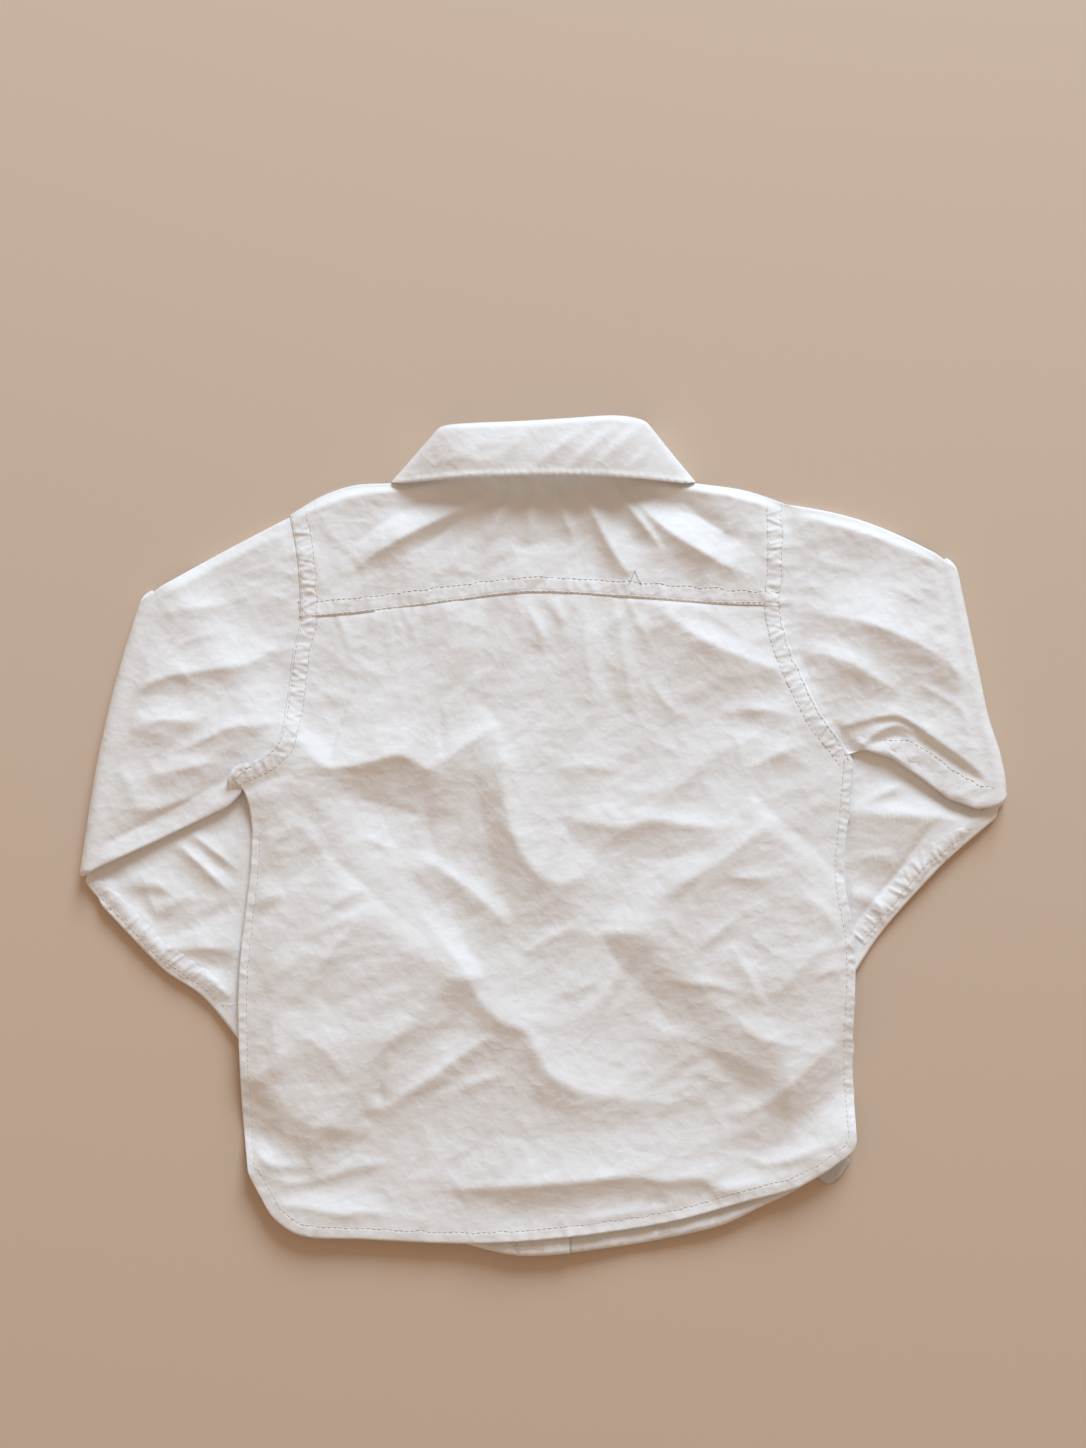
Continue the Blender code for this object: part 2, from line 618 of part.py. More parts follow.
def forearm_rings(sleeve):
    """The rings past the fold, lying on the surface until they rise to the cuff."""
    outward = away_from_body(sleeve)
    fold_top, fold_under = fold_ends(sleeve)
    seam_top, seam_under = cuff_seam(sleeve)
    outer_edge = spaced(spline((sleeve.under_end, *sleeve.elbow_edge, seam_under)), FOREARM_RINGS + 1)
    for index in range(1, FOREARM_RINGS + 1):
        t = index / FOREARM_RINGS
        top, under = fold_top + (seam_top - fold_top) * t, outer_edge[index]
        ring = oval(TUBE_HALF, np.linalg.norm(under - top))
        bow = sleeve.fold_bow * (1 - t) ** 2
        line = ring_line(top, under, bow, outward, ring[:, 0])
        floor = CUFF_FLOOR * smooth((t - CUFF_RISE_START) / (1 - CUFF_RISE_START))
        fell = FELL_RAISE * under_fell(ring) * smooth(2 * t)
        yield np.column_stack([line, floor + TUBE_HALF * (1 - ring[:, 1]) + fell])


def add_sleeve(sleeve, collection):
    """The sleeve as one tube: over the upper arm, round the fold, and back beneath."""
    outward = away_from_body(sleeve)
    fold_top, fold_under = fold_ends(sleeve)
    rings = list(arm_rings(sleeve))
    ring = oval(TUBE_HALF, np.linalg.norm(fold_under - fold_top))
    line = ring_line(fold_top, fold_under, sleeve.fold_bow, outward, ring[:, 0])
    for angle in np.linspace(0, math.pi, TURN_RINGS + 1)[1:]:
        rings.append(turn_ring(ring, line, angle, outward))
    rings.extend(forearm_rings(sleeve))
    tube(f"sleeve_{sleeve.side}", rings, sleeve.side == "right", collection)


def tube(name, rings, turn, collection):
    """An open-ended tube through rings of points, its wall grown inwards."""
    points = np.concatenate(rings)
    faces = grid_faces(len(rings), len(rings[0]), True)
    obj = make_object(name, points, faces, POPLIN, collection, turn=turn)
    thicken(obj, -1)


def add_cuff(sleeve, collection):
    """The cuff continues the sleeve past its seam."""
    seam_top, seam_under = cuff_seam(sleeve)
    end_top, end_under = np.array(sleeve.cuff_top), np.array(sleeve.cuff_under)
    gap = (end_top - seam_top) / CUFF_DEPTH * SEAM_GAP
    rings = []
    for t in np.linspace(0, 1, CUFF_RINGS + 1):
        top = seam_top + gap + (end_top - seam_top - gap) * t
        under = seam_under + gap + (end_under - seam_under - gap) * t
        ring = oval(CUFF_HALF, np.linalg.norm(under - top))
        line = ring_line(top, under, 0, gap, ring[:, 0])
        rings.append(np.column_stack([line, CUFF_FLOOR + CUFF_HALF * (1 - ring[:, 1])]))
    tube(f"cuff_{sleeve.side}", rings, sleeve.side == "right", collection)


def band_surface(rows, cells, lift_of):
    """A surface between the two edges that each row of a station table gives."""
    along = spaced(spline(rows), cells[0] + 1)
    first, second = along[:, :3], along[:, 3:6]
    points = []
    for t in np.linspace(0, 1, cells[1] + 1):
        place = first + (second - first) * t
        place[:, 2] = np.maximum(place[:, 2] + lift_of(along, t), WALL / 2)
        points.append(place)
    return np.array(points)


def add_collar(collection):
    """The leaf, turned down over the back and under the fronts, and its stand."""
    leaf_rows = [
        (s.roll_x, s.roll_y, s.roll_z, s.edge_x, s.edge_y, s.edge_z, s.lift) for s in LEAF_STATIONS
    ]
    leaf = band_surface(leaf_rows, LEAF_CELLS, lambda rows, t: rows[:, 6] * math.sin(math.pi * t))
    stand = band_surface(STAND_STATIONS, STAND_CELLS, lambda rows, t: 0)
    for name, surface in (("collar_leaf", leaf), ("collar_stand", stand)):
        rows, columns = surface.shape[:2]
        faces = grid_faces(rows, columns, False)
        obj = make_object(name, surface.reshape(-1, 3), faces, POPLIN, collection)
        thicken(obj, 0)


def add_button(name, x, y, z, collection):
    """A turned disc with a raised rim, facing down."""
    radius, height = BUTTON_RADIUS, BUTTON_HEIGHT
    rim = radius - BUTTON_RIM
    profile = (
        (0, height), (radius, height), (radius, 0), (rim, 0), (rim - BUTTON_DISH, BUTTON_DISH),
        (0, BUTTON_DISH),
    )
    points = [(across, 0, up) for across, up in profile]
    edges = [(i, i + 1) for i in range(len(points) - 1)]
    mesh = bpy.data.meshes.new(name)
    mesh.from_pydata((np.array(points) * MM).tolist(), edges, [])
    mesh.materials.append(finish_material(name, BUTTON))
    obj = bpy.data.objects.new(name, mesh)
    obj.location = (x * MM, y * MM, z * MM)
    collection.objects.link(obj)
    turned = obj.modifiers.new("turned", "SCREW")
    turned.steps = turned.render_steps = BUTTON_SIDES
    turned.use_merge_vertices = True
    turned.merge_threshold = 0.00001
    turned.use_smooth_shade = False


def add_buttons(collection):
    for index in range(BUTTON_COUNT):
        add_button(f"button_{index + 1}", 0, BUTTON_TOP_Y - index * BUTTON_PITCH, 0, collection)
    add_button("button_collar", 0, COLLAR_BUTTON_Y, 0, collection)
    for sleeve in SLEEVES:
        seam_top, seam_under = cuff_seam(sleeve)
        across = (np.array(sleeve.cuff_under) - seam_under) / 2
        place = seam_under + across + (seam_top - seam_under) * CUFF_BUTTON_PLACE
        add_button(f"cuff_button_{sleeve.side}", place[0], place[1], 0, collection)


def add_label(collection):
    """A small blank label of woven tape, lying on the surface past the hem."""
    hem_edge, free_edge = np.array(LABEL_HEM_EDGE), np.array(LABEL_FREE_EDGE)
    left, right = np.stack([hem_edge, free_edge], axis=1)
    plan = patch(hem_edge, free_edge, left, right, LABEL_CELLS)
    panel("care_label", plan, np.zeros(plan.shape[:2]), collection, LABEL)


def main():
    for obj in list(bpy.data.objects):
        bpy.data.objects.remove(obj)
    shirt = bpy.data.collections.new("shirt")
    bpy.context.scene.collection.children.link(shirt)
    add_back(shirt)
    add_yoke(shirt)
    add_front("left", shirt)
    add_front("right", shirt)
    add_band("band_buttonhole", BUTTONHOLE_BAND_Z, shirt)
    add_band("band_button", BUTTON_BAND_Z, shirt)
    for sleeve in SLEEVES:
        add_sleeve(sleeve, shirt)
        add_cuff(sleeve, shirt)
    add_collar(shirt)
    add_buttons(shirt)
    add_label(shirt)


main()
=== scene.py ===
"""The look of a small child's white woven shirt that lies crumpled, face down.

Lengths are in millimetres until a mesh is made. +X is to the right of the back, +Y towards
the collar and +Z up, as in the frame. Each cloth piece is a thin shell on its solid's form.
"""

import math
from collections import namedtuple

import bpy
import numpy as np
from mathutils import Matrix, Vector


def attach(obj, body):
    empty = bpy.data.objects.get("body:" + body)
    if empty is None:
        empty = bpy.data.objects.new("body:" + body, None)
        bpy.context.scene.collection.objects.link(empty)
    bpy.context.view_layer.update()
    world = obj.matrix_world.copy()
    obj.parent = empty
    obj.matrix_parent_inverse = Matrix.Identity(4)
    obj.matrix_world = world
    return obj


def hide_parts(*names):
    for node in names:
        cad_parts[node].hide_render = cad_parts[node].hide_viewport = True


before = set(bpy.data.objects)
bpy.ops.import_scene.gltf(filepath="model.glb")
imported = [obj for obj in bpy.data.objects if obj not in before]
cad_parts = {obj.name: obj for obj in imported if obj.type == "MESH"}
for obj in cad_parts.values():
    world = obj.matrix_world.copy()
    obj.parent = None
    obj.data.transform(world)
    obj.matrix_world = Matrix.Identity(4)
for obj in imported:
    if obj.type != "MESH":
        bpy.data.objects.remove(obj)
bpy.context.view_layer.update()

MM = 0.001
CLOTH = 0.35
CAMERA_AXIS = np.array([0, 50.4])
CAMERA_HEIGHT = 905
CAMERA_LENS = 50

# The solids' own sizes
WALL = 1.0
TUBE_HALF = 1.5
FOLD_RADIUS = 2.9
FOREARM_LIFT = 3.9
FOLD_LIFT = 1.9
FOLD_REACH = 30.0
CUFF_DEPTH = 35.0
CUFF_HALF = 1.6
CUFF_FLOOR = 1.7
CUFF_LIFT = 5.6
CUFF_RISE = 26.0
CUFF_RISE_START = 0.7
CUFF_BUTTON_PLACE = 0.2
DRAPE_RAMP = 24.0
DRAPE_MARGIN = 4.0
BAND_HALF = 12.0
BAND_RAMP = 30.0
BUTTONHOLE_BAND_Z = 1.7
BUTTON_BAND_Z = 3.0
BUTTON_RADIUS = 4.6
BUTTON_COUNT = 6
BUTTON_TOP_Y = 88.0
BUTTON_PITCH = 46.0
COLLAR_BUTTON_Y = 120.5
COLLAR_LIFT = 1.6
NECK_Z = 5.6
NECK_REACH = 30.0
NECK_SEAM_GAP = 1.1
BACK_CROWN = 2.2
BACK_FADE = 20.0
EDGE_GAP = 0.35
LAYER_GAP = 0.9

Crease = namedtuple("Crease", "height steep soft path")
Tuck = namedtuple("Tuck", "height pitch reach seed path")
Seam = namedtuple("Seam", "name line half height_at cover pucker pitch seed rows start", defaults=(1.0,))
Leaf = namedtuple("Leaf", "roll_x roll_y roll_z edge_x edge_y edge_z lift")
Sleeve = namedtuple(
    "Sleeve",
    "side armhole shoulder_end under_end elbow_edge cuff_top cuff_under shoulder_bow fold_bow "
    "top_round under_round flare",
)

# The outline, seen from above
LEFT_ARMHOLE = (
    (-113.9, 144.3), (-110.5, 124), (-109.4, 98.1), (-112.6, 82),
    (-115.2, 62), (-119, 46), (-125.5, 33), (-130.1, 20),
)
RIGHT_ARMHOLE = (
    (108, 149.8), (108.6, 124), (107.1, 103.5), (110.5, 87),
    (117.9, 69.3), (126.5, 53), (134, 43), (139.5, 34),
)
# The body's own edge goes on past the left armhole to a small tip over the sleeve
BODY_LEFT_ARMHOLE = (
    (-113.9, 144.3), (-110.5, 124), (-109.4, 98.1), (-112.6, 82), (-115.2, 62), (-117.6, 48),
    (-121.5, 40), (-128, 35), (-135, 31.5), (-140.8, 28.5),
)
BODY_LEFT_TIP = ((-140.8, 28.5), (-138.6, 24.5), (-134.6, 20), (-132, 12), (-130.8, 2))
LEFT_SIDE = (
    (-130.8, 2), (-131.9, -16.7), (-135.9, -51.3), (-137.3, -78), (-135.7, -116.6), (-132.8, -151.7),
)
RIGHT_SIDE = ((139.5, 34), (137.3, 8), (135.4, -17.6), (140.5, -52), (139.2, -101.3), (141.2, -137))
LEFT_SHOULDER = ((-113.9, 144.3), (-98.6, 153.2), (-84, 157.8), (-66.6, 158.8), (-50.5, 160.8))
RIGHT_SHOULDER = ((52.5, 160.8), (70, 158.4), (90, 155.5), (108, 149.8))
BACK_NECK = ((-50.5, 160.8), (-26, 166), (0, 167), (27, 166), (52.5, 160.8))
YOKE_SEAM = (
    (-109.4, 98.1), (-80, 100.6), (-37.8, 105.8), (-6, 109.4), (34.2, 107.6), (77, 104.4), (107.1, 103.5),
)
BACK_HEM = (
    (-132.8, -151.7), (-126.9, -162.8), (-120.8, -172.4), (-108, -180), (-81.9, -181.4), (-30.6, -183.4),
    (12, -180.6), (57, -173.8), (89, -165.2), (112, -159.2), (122, -154.4), (132, -148),
    (139.6, -141.8), (141.2, -137),
)
FRONT_HEM = (
    (-131.2, -151.7), (-125.8, -162.4), (-119.6, -172), (-107, -178.4), (-81.9, -179.8), (-45, -181.4),
    (-11.7, -188.6), (27.9, -185.6), (76.5, -176.4), (98, -167), (118.4, -156.4), (139.6, -137.3),
)
FRONT_NECK = (
    (-50.5, 160.8), (-49.8, 156), (-43.2, 140), (-27.6, 120.8), (-6, 112.2),
    (6, 112.2), (28.6, 120.8), (44.8, 140), (51.4, 156), (52.5, 160.8),
)
FRONT_TOP_Y = 111.3
SLEEVES = (
    Sleeve(
        "left", LEFT_ARMHOLE, (-175.6, 110.4), (-203.8, -15.9),
        ((-205.6, -21), (-195.3, -33), (-186.8, -43.4), (-170.4, -60.3), (-152.4, -73)),
        (-52.7, -64.8), (-104.9, -122.9), 0.5, 3.5, 7.0, -2.8, 0.0,
    ),
    Sleeve(
        "right", RIGHT_ARMHOLE, (181, 125), (204.4, 13),
        ((204, 8.6), (199.2, 4.2), (186.6, -6.6), (176.4, -16.3), (152.3, -43.4)),
        (52.7, -42.8), (110.3, -96.8), 4.5, 0.0, 8.0, 4.5, 2.0,
    ),
)
LEAF_STATIONS = (
    Leaf(-3, 131, 0.7, -30, 90, 0.7, 0),
    Leaf(-20, 139, 0.7, -44, 110, 0.7, 0),
    Leaf(-36, 156, 0.7, -56, 134, 0.7, 0),
    Leaf(-43.5, 170, 0.9, -61, 148, 0.75, 0),
    Leaf(-46, 178, 1.4, -65.2, 158.4, 0.5, 0),
    Leaf(-47.8, 182.0, 4.4, -68.0, 159.2, 4.2, 0),
    Leaf(-44, 184.6, 8.4, -62.5, 159.0, 7.1, 0.5),
    Leaf(-32, 185.8, 9.0, -38, 161.3, 8.4, 0.8),
    Leaf(-12, 186.6, 9.0, -14, 162.2, 8.6, 0.9),
    Leaf(10, 187.9, 9.0, 10, 162.5, 8.6, 0.9),
    Leaf(32, 189.2, 9.0, 38, 161.4, 8.6, 0.8),
    Leaf(44, 187.3, 8.6, 62.5, 159.0, 7.1, 0.5),
    Leaf(48.4, 183.6, 4.4, 68.3, 159.2, 4.2, 0),
    Leaf(48, 178.5, 1.4, 66.4, 158.6, 0.5, 0),
    Leaf(45.5, 170, 0.9, 64, 148, 0.75, 0),
    Leaf(37.5, 156, 0.7, 57.5, 134, 0.7, 0),
    Leaf(21, 139, 0.7, 45, 110, 0.7, 0),
    Leaf(3, 131, 0.7, 30, 90, 0.7, 0),
)
STAND_STATIONS = (
    (9, 112.2, 3.6, 8, 129.4, 3.6),
    (-6, 112.2, 3.5, -5, 129.6, 3.5),
    (-27.6, 120.8, 2.4, -20, 137.6, 2.4),
    (-43.2, 140, 2.2, -35, 154.6, 2.2),
    (-49.8, 156, 2.4, -42, 170.6, 2.4),
    (-51.6, 162, 4.3, -43.8, 179, 4.4),
    (-45.4, 164.6, 6.3, -39, 181.6, 8.9),
    (-25, 167.2, 6.4, -22, 182.8, 10.4),
    (0, 168, 6.4, 0, 184.2, 10.6),
    (27, 167.2, 6.4, 26, 184.6, 10.4),
    (47.4, 164.6, 6.3, 41, 182.6, 8.9),
    (53.6, 162, 4.3, 46.4, 179, 4.4),
    (51.4, 156, 2.4, 44, 170.6, 2.4),
    (44.8, 140, 2.2, 36.5, 154.6, 2.2),
    (28.6, 120.8, 2.2, 21, 137.6, 2.2),
    (6, 112.2, 2.3, 5, 129.6, 2.3),
    (-9, 112.2, 2.3, -8, 129.4, 2.3),
)
COLLAR_UNDERLAY = (
    ((0, 136), (-30, 88), (-64, 150), (-64, 160), (-45, 185), (0, 185)),
    ((0, 136), (30, 88), (67, 150), (67, 160), (47, 185), (0, 185)),
)
LABEL_HEM_EDGE = ((120.5, -150.5), (127, -147.5), (135, -141))
LABEL_FREE_EDGE = ((125, -154.6), (128.6, -156.3), (133.3, -153.4), (138.2, -146.3))

# The creases, read from the photo. Along a path, the steep side is on the right
BACK_CREASES = (
    # the lip under the left shoulder blade, and the flank at its right end
    Crease(7.6, 4.4, 21, ((-112, 46), (-104, 37), (-98, 31), (-88, 31.5), (-76, 34), (-65, 36.5),
                          (-57, 33), (-49, 29), (-42, 28), (-38, 33))),
    Crease(4.4, 3.6, 11, ((-110, 38), (-102, 33.5), (-94, 31), (-85, 32), (-78, 34))),
    Crease(2.6, 6.0, 18, ((-39, 31), (-41, 45), (-46, 62), (-46, 80))),
    Crease(6.4, 15.0, 9, ((-58, 30), (-46, 33), (-36, 40), (-27, 47), (-20, 52))),
    Crease(-2.2, 9.0, 9, ((-100, 17), (-80, 16), (-58, 10), (-36, 6))),
    # the ridge that runs down the middle and hooks to the right, and the valley beside it
    Crease(6.6, 5.2, 15, ((-30, 53), (-22.5, 45), (-19, 34), (-18, 20), (-15, 6), (-10, -7), (-3, -16),
                          (5, -21), (16, -19), (26, -12))),
    Crease(-2.2, 8.0, 8, ((-33, 44), (-30, 22), (-26, 2), (-21, -18), (-14, -36))),
    Crease(3.8, 3.5, 12, ((-13, -44), (-24, -32), (-36, -22), (-48, -14), (-60, -8))),
    # the long fold down to the right
    Crease(5.6, 5.0, 14, ((-60, -30), (-52, -38), (-45, -48), (-38, -57), (-32, -67), (-26, -77),
                          (-17, -84), (-8, -88), (-3, -97), (3, -107), (14, -114), (28, -117),
                          (44, -119), (62, -119))),
    # the ridge that meets it from the lower left
    Crease(5.0, 3.0, 10, ((-80, -116), (-76, -122), (-70, -122.5), (-62, -116), (-50, -108.5),
                          (-37, -99), (-25, -91.5), (-14, -89))),
    Crease(1.6, 2.5, 4, ((-54, -120), (-36, -113), (-20, -108), (-9, -107))),
    # the roll along the hem
    Crease(5.6, 3.0, 13, ((-64, -161), (-45, -159), (-20, -158), (10, -156), (30, -154), (42, -153.5),
                          (55, -155), (71, -154), (79, -158.5), (90, -160.5), (104, -160.5))),
    Crease(1.4, 2.0, 6, ((4, -174), (20, -172.5), (40, -170), (60, -166.5), (74, -165))),
    # the lower left
    Crease(2.0, 2.0, 5, ((-108, -156.5), (-96, -153), (-85, -149.5), (-70, -147))),
    Crease(1.8, 2.0, 4, ((-122, -165), (-106, -167.5), (-92, -170), (-80, -169.5), (-66, -171.5))),
    Crease(2.2, 3.0, 6, ((-131, -139), (-125, -146.5), (-116, -149), (-106, -148))),
    Crease(1.6, 2.5, 4, ((-124, -153), (-114, -156), (-102, -155))),
    Crease(2.8, 5.0, 10, ((-134, -114), (-123, -105), (-109, -91), (-97, -98), (-86, -111))),
    Crease(1.8, 4.0, 9, ((-108, -130), (-96, -131), (-84, -132), (-72, -127))),
    # the left side
    Crease(2.9, 4.0, 12, ((-113, -79), (-104, -64), (-96, -53), (-87, -42), (-79, -30))),
    Crease(2.2, 3.0, 8, ((-110, -47), (-99, -42.5), (-89, -38), (-81, -33))),
    Crease(2.0, 3.0, 6, ((-103, -39), (-95, -32), (-86, -26), (-78, -24))),
    Crease(1.8, 4.0, 9, ((-127, -67), (-117, -61), (-107, -54), (-98, -50))),
    Crease(2.0, 3.0, 6, ((-135, -32), (-126, -28.5), (-116, -25))),
    Crease(1.2, 2.0, 3, ((-114, 32), (-119, 20), (-126, 4), (-133, -10))),
    Crease(1.3, 2.0, 4, ((-110, 40), (-108, 28), (-103, 16), (-98, 8))),
    Crease(1.8, 4.0, 7, ((-128, -16), (-120, -3), (-111, 5), (-103, -3), (-96, -12))),
    Crease(1.2, 3.0, 6, ((-88, -4), (-78, -2), (-66, -7))),
    Crease(1.6, 3.5, 8, ((-62, -85), (-50, -84), (-40, -80), (-31, -73))),
    Crease(1.4, 3.0, 7, ((-80, -104), (-70, -94), (-60, -87), (-50, -84))),
    # the upper back, with the gathers under the yoke
    Crease(2.0, 6.0, 12, ((-46, 56), (-44, 72), (-37, 88), (-29, 103))),
    Crease(1.2, 3.0, 6, ((-104, 90), (-96, 84), (-88, 76), (-74, 72), (-58, 71))),
    Crease(1.6, 5.0, 9, ((-100, 66), (-90, 62), (-80, 58))),
    Crease(1.7, 3.0, 4, ((-8, 107), (-5, 99), (-1, 91), (0, 82))),
    Crease(1.6, 2.5, 3, ((5, 108), (7, 101), (10, 94))),
    Crease(2.1, 4.0, 7, ((24, 56), (21, 74), (19, 90), (20, 107))),
    Crease(1.9, 4.0, 5, ((42, 54), (38, 70), (35, 88), (33, 106))),
    Crease(1.5, 3.0, 4, ((41, 106), (42, 99), (46, 91), (52, 80))),
    Crease(4.8, 7.5, 7, ((48, 106), (57, 99), (67, 91.5), (79, 85), (91, 80), (103, 75), (112, 67))),
    Crease(1.4, 3.0, 4, ((64, 104), (76, 99), (87, 92), (98, 84))),
    Crease(1.5, 2.5, 5, ((46, 76), (50, 68), (55, 60), (62, 55), (72, 56))),
    # right of the middle
    Crease(2.4, 4.0, 6, ((76, 55), (91, 57), (105, 56), (113, 52))),
    Crease(3.0, 8.0, 12, ((42, 8), (52, 15), (62, 24), (74, 34), (88, 41), (104, 45))),
    Crease(2.0, 2.5, 6, ((88, 29), (98, 33), (108, 38), (119, 41))),
    Crease(1.4, 3.0, 7, ((-8, 27), (8, 30.5), (24, 31), (36, 28))),
    Crease(4.2, 4.5, 9, ((8, 10), (22, 6), (38, 4.5), (50, 7), (64, 5), (78, 4), (91, 9))),
    Crease(3.2, 5.0, 7, ((54, -26), (68, -18.5), (80, -11), (92, -2), (104, 9))),
    Crease(1.8, 3.0, 4, ((77, -17), (90, -18.5), (105, -18.5))),
    Crease(1.8, 3.0, 7, ((100, -77), (96, -70), (91, -60), (83, -48))),
    Crease(2.6, 5.0, 9, ((102, -75), (110, -66), (119, -56), (131, -47))),
    Crease(1.7, 2.5, 5, ((68, -53), (78, -44), (90, -35))),
    Crease(1.4, 2.5, 5, ((55, -64), (70, -66.5), (87, -66))),
    Crease(3.0, 9.0, 12, ((47, -86), (62, -90), (78, -96), (92, -101), (105, -108))),
    Crease(2.2, 4.0, 6, ((86, -82), (95, -89), (106, -93.5), (123, -94))),
    Crease(3.8, 6.0, 8, ((80, -127), (97, -122), (109, -114), (120, -104), (132, -92))),
    Crease(2.2, 4.0, 6, ((114, -27), (124, -31), (134, -45))),
    Crease(1.8, 2.5, 5, ((120, -65), (128, -61), (136, -60))),
    Crease(1.9, 2.5, 5, ((90, -147.5), (106, -147), (120, -142.5), (133, -137.5))),
    Crease(1.9, 6.0, 9, ((13, -93), (26, -77), (34, -61), (41, -45), (47, -27))),
    Crease(2.0, 3.0, 5, ((-11, -55), (0, -47.5), (10, -43), (21, -38))),
    Crease(1.5, 2.5, 5, ((-7, -79), (6, -72.5), (20, -67), (32, -60))),
    Crease(1.4, 2.5, 5, ((6, -98), (16, -103), (26, -110))),
)
YOKE_CREASES = (
    # the folds that fan out from under the collar, and the hollows beside the shoulders
    Crease(6.4, 2.6, 9, ((38, 160), (45, 148), (52, 141), (60, 135), (70, 129), (82, 122), (94, 118))),
    Crease(-4.0, 6, 6, ((50, 154), (64, 147.5), (76, 140), (90, 131))),
    Crease(5.4, 1.9, 6, ((16, 162), (21, 150), (25, 141), (29, 133), (34, 124), (40, 116))),
    Crease(5.0, 1.9, 4.5, ((31, 160), (37, 151), (43, 143), (49, 135), (55, 127))),
    Crease(6.4, 6, 5, ((-20, 161), (-29, 152), (-38, 147), (-50, 141), (-62, 135), (-74, 128), (-86, 120))),
    Crease(-4.0, 6, 6, ((-46, 154), (-62, 146.5), (-76, 138), (-88, 127))),
    Crease(-2.4, 2.5, 4, ((-30, 148), (-38, 142), (-46, 136.5), (-56, 130))),
    Crease(3.8, 2.2, 4, ((-14, 163), (-17, 150), (-21, 141), (-27, 130))),
    Crease(3.2, 2.0, 4, ((-4, 163), (-5, 151), (-6, 141), (-7, 131))),
    Crease(3.4, 2.0, 4, ((6, 163), (8, 151), (11, 141), (14, 131))),
    Crease(4.0, 5.5, 3, ((50, 159), (66, 156.5), (82, 153.5), (96, 149.5), (107, 146))),
    Crease(4.0, 5.5, 3, ((-113, 142), (-98, 148.5), (-85, 153), (-66, 155.5), (-48, 158.5))),
    Crease(1.4, 4, 6, ((-100, 108), (-101, 120), (-104, 134))),
    Crease(1.0, 4, 6, ((-30, 124), (-14, 127), (4, 126), (20, 129))),
    Crease(0.9, 3, 5, ((-50, 116), (-40, 124), (-32, 134))),
    Crease(1.0, 3, 5, ((66, 113), (76, 117), (88, 116))),
)
COLLAR_CREASES = (
    Crease(1.6, 4, 2, ((22, 166), (30, 173), (38, 180), (44, 185))),
    Crease(1.6, 4, 2, ((10, 166), (19, 173), (28, 181), (34, 185))),
    Crease(1.3, 4, 2, ((-4, 167), (4, 173), (12, 179), (19, 184))),
    Crease(1.0, 3, 2, ((38, 165), (43, 170), (48, 176))),
    Crease(1.1, 3, 5, ((-48, 167), (-38, 171), (-27, 169), (-16, 173))),
    Crease(1.0, 3, 4, ((-42, 176), (-34, 173), (-24, 177), (-12, 176))),
    Crease(0.9, 3, 3, ((-8, 182), (-14, 175), (-20, 171))),
)
LEFT_SLEEVE_CREASES = (
    Crease(2.4, 7, 3, ((-173, 110), (-155, 120), (-138, 129), (-117, 139))),
    Crease(2.8, 3, 8, ((-193, 55), (-182, 66), (-170, 71.5), (-150, 75), (-132, 78), (-118, 86))),
    Crease(2.8, 5, 7, ((-188, 48), (-172, 52), (-158, 52), (-146, 57))),
    Crease(3.4, 5, 7, ((-167, 37), (-152, 44), (-140, 49), (-128, 50), (-119, 49))),
    Crease(2.6, 5, 7, ((-178, 27), (-163, 30), (-150, 33), (-141, 33))),
    Crease(1.4, 4, 8, ((-176, 98), (-162, 102), (-146, 104), (-130, 110))),
    Crease(1.2, 3, 6, ((-168, 84), (-154, 90), (-140, 92))),
    Crease(1.4, 3, 6, ((-190, 14), (-176, 12), (-162, 16), (-150, 22))),
    Crease(1.2, 3, 5, ((-194, 34), (-186, 22), (-182, 8))),
    Crease(-1.5, 1.8, 7.5, ((-141, 26.5), (-168, 11.5), (-188, 1), (-208, -8.5))),
)
RIGHT_SLEEVE_CREASES = (
    Crease(2.5, 9, 3, ((112, 146), (130, 141), (150, 135), (168, 128), (180, 122))),
    Crease(5.1, 6, 12, ((114, 101), (132, 99), (148, 95.5), (164, 89), (180, 80), (194, 68))),
    Crease(4.0, 5, 9, ((114, 83), (128, 81.5), (140, 77), (150, 71), (162, 64))),
    # the roll above the opening, its lower lip, and the hollow between
    Crease(2.3, 1.1, 9, ((126, 46), (138, 50), (149, 53), (159, 54), (167, 50.5), (175.5, 44.2),
                         (189, 34.6), (207, 20.5))),
    Crease(1.7, 1.2, 3, ((139, 37), (147, 43.5), (154, 48.5), (161, 49.5), (168, 46))),
    Crease(-1.4, 2.0, 2.5, ((147, 40.5), (153, 43.5), (160, 45), (165, 42.5))),
    Crease(-0.9, 1.3, 1.3, ((160, 48), (170, 43.2), (178.5, 37.2), (188, 31), (197, 25.3), (207.5, 18.5))),
    Crease(1.4, 3, 4, ((150, 113), (162, 110), (170, 105), (180, 100))),
    Crease(1.2, 4, 7, ((120, 124), (136, 121), (152, 117))),
    Crease(1.2, 2.5, 4, ((160, 72), (174, 66), (190, 56))),
)
LEFT_FOREARM_CREASES = (
    Crease(3.2, 2.5, 14, ((-171, -50.5), (-160, -50.5), (-150, -50.5), (-134, -50.5))),
    Crease(-1.7, 2.4, 5, ((-134, -28.5), (-148, -36), (-158, -41), (-170, -47))),
    Crease(2.4, 2.5, 4, ((-166, -2), (-154, -13), (-141, -25))),
    Crease(2.2, 2.0, 4, ((-160, 3), (-148, -7), (-137, -15))),
    Crease(2.0, 2.5, 6, ((-192, -24), (-178, -22), (-164, -27))),
    Crease(2.0, 2.5, 5, ((-178, -36), (-166, -30), (-156, -27))),
    Crease(1.8, 2.5, 4, ((-157, -60), (-149, -65), (-140, -74))),
    Crease(1.3, 2.0, 4, ((-184, -14), (-178, -24), (-176, -36))),
)
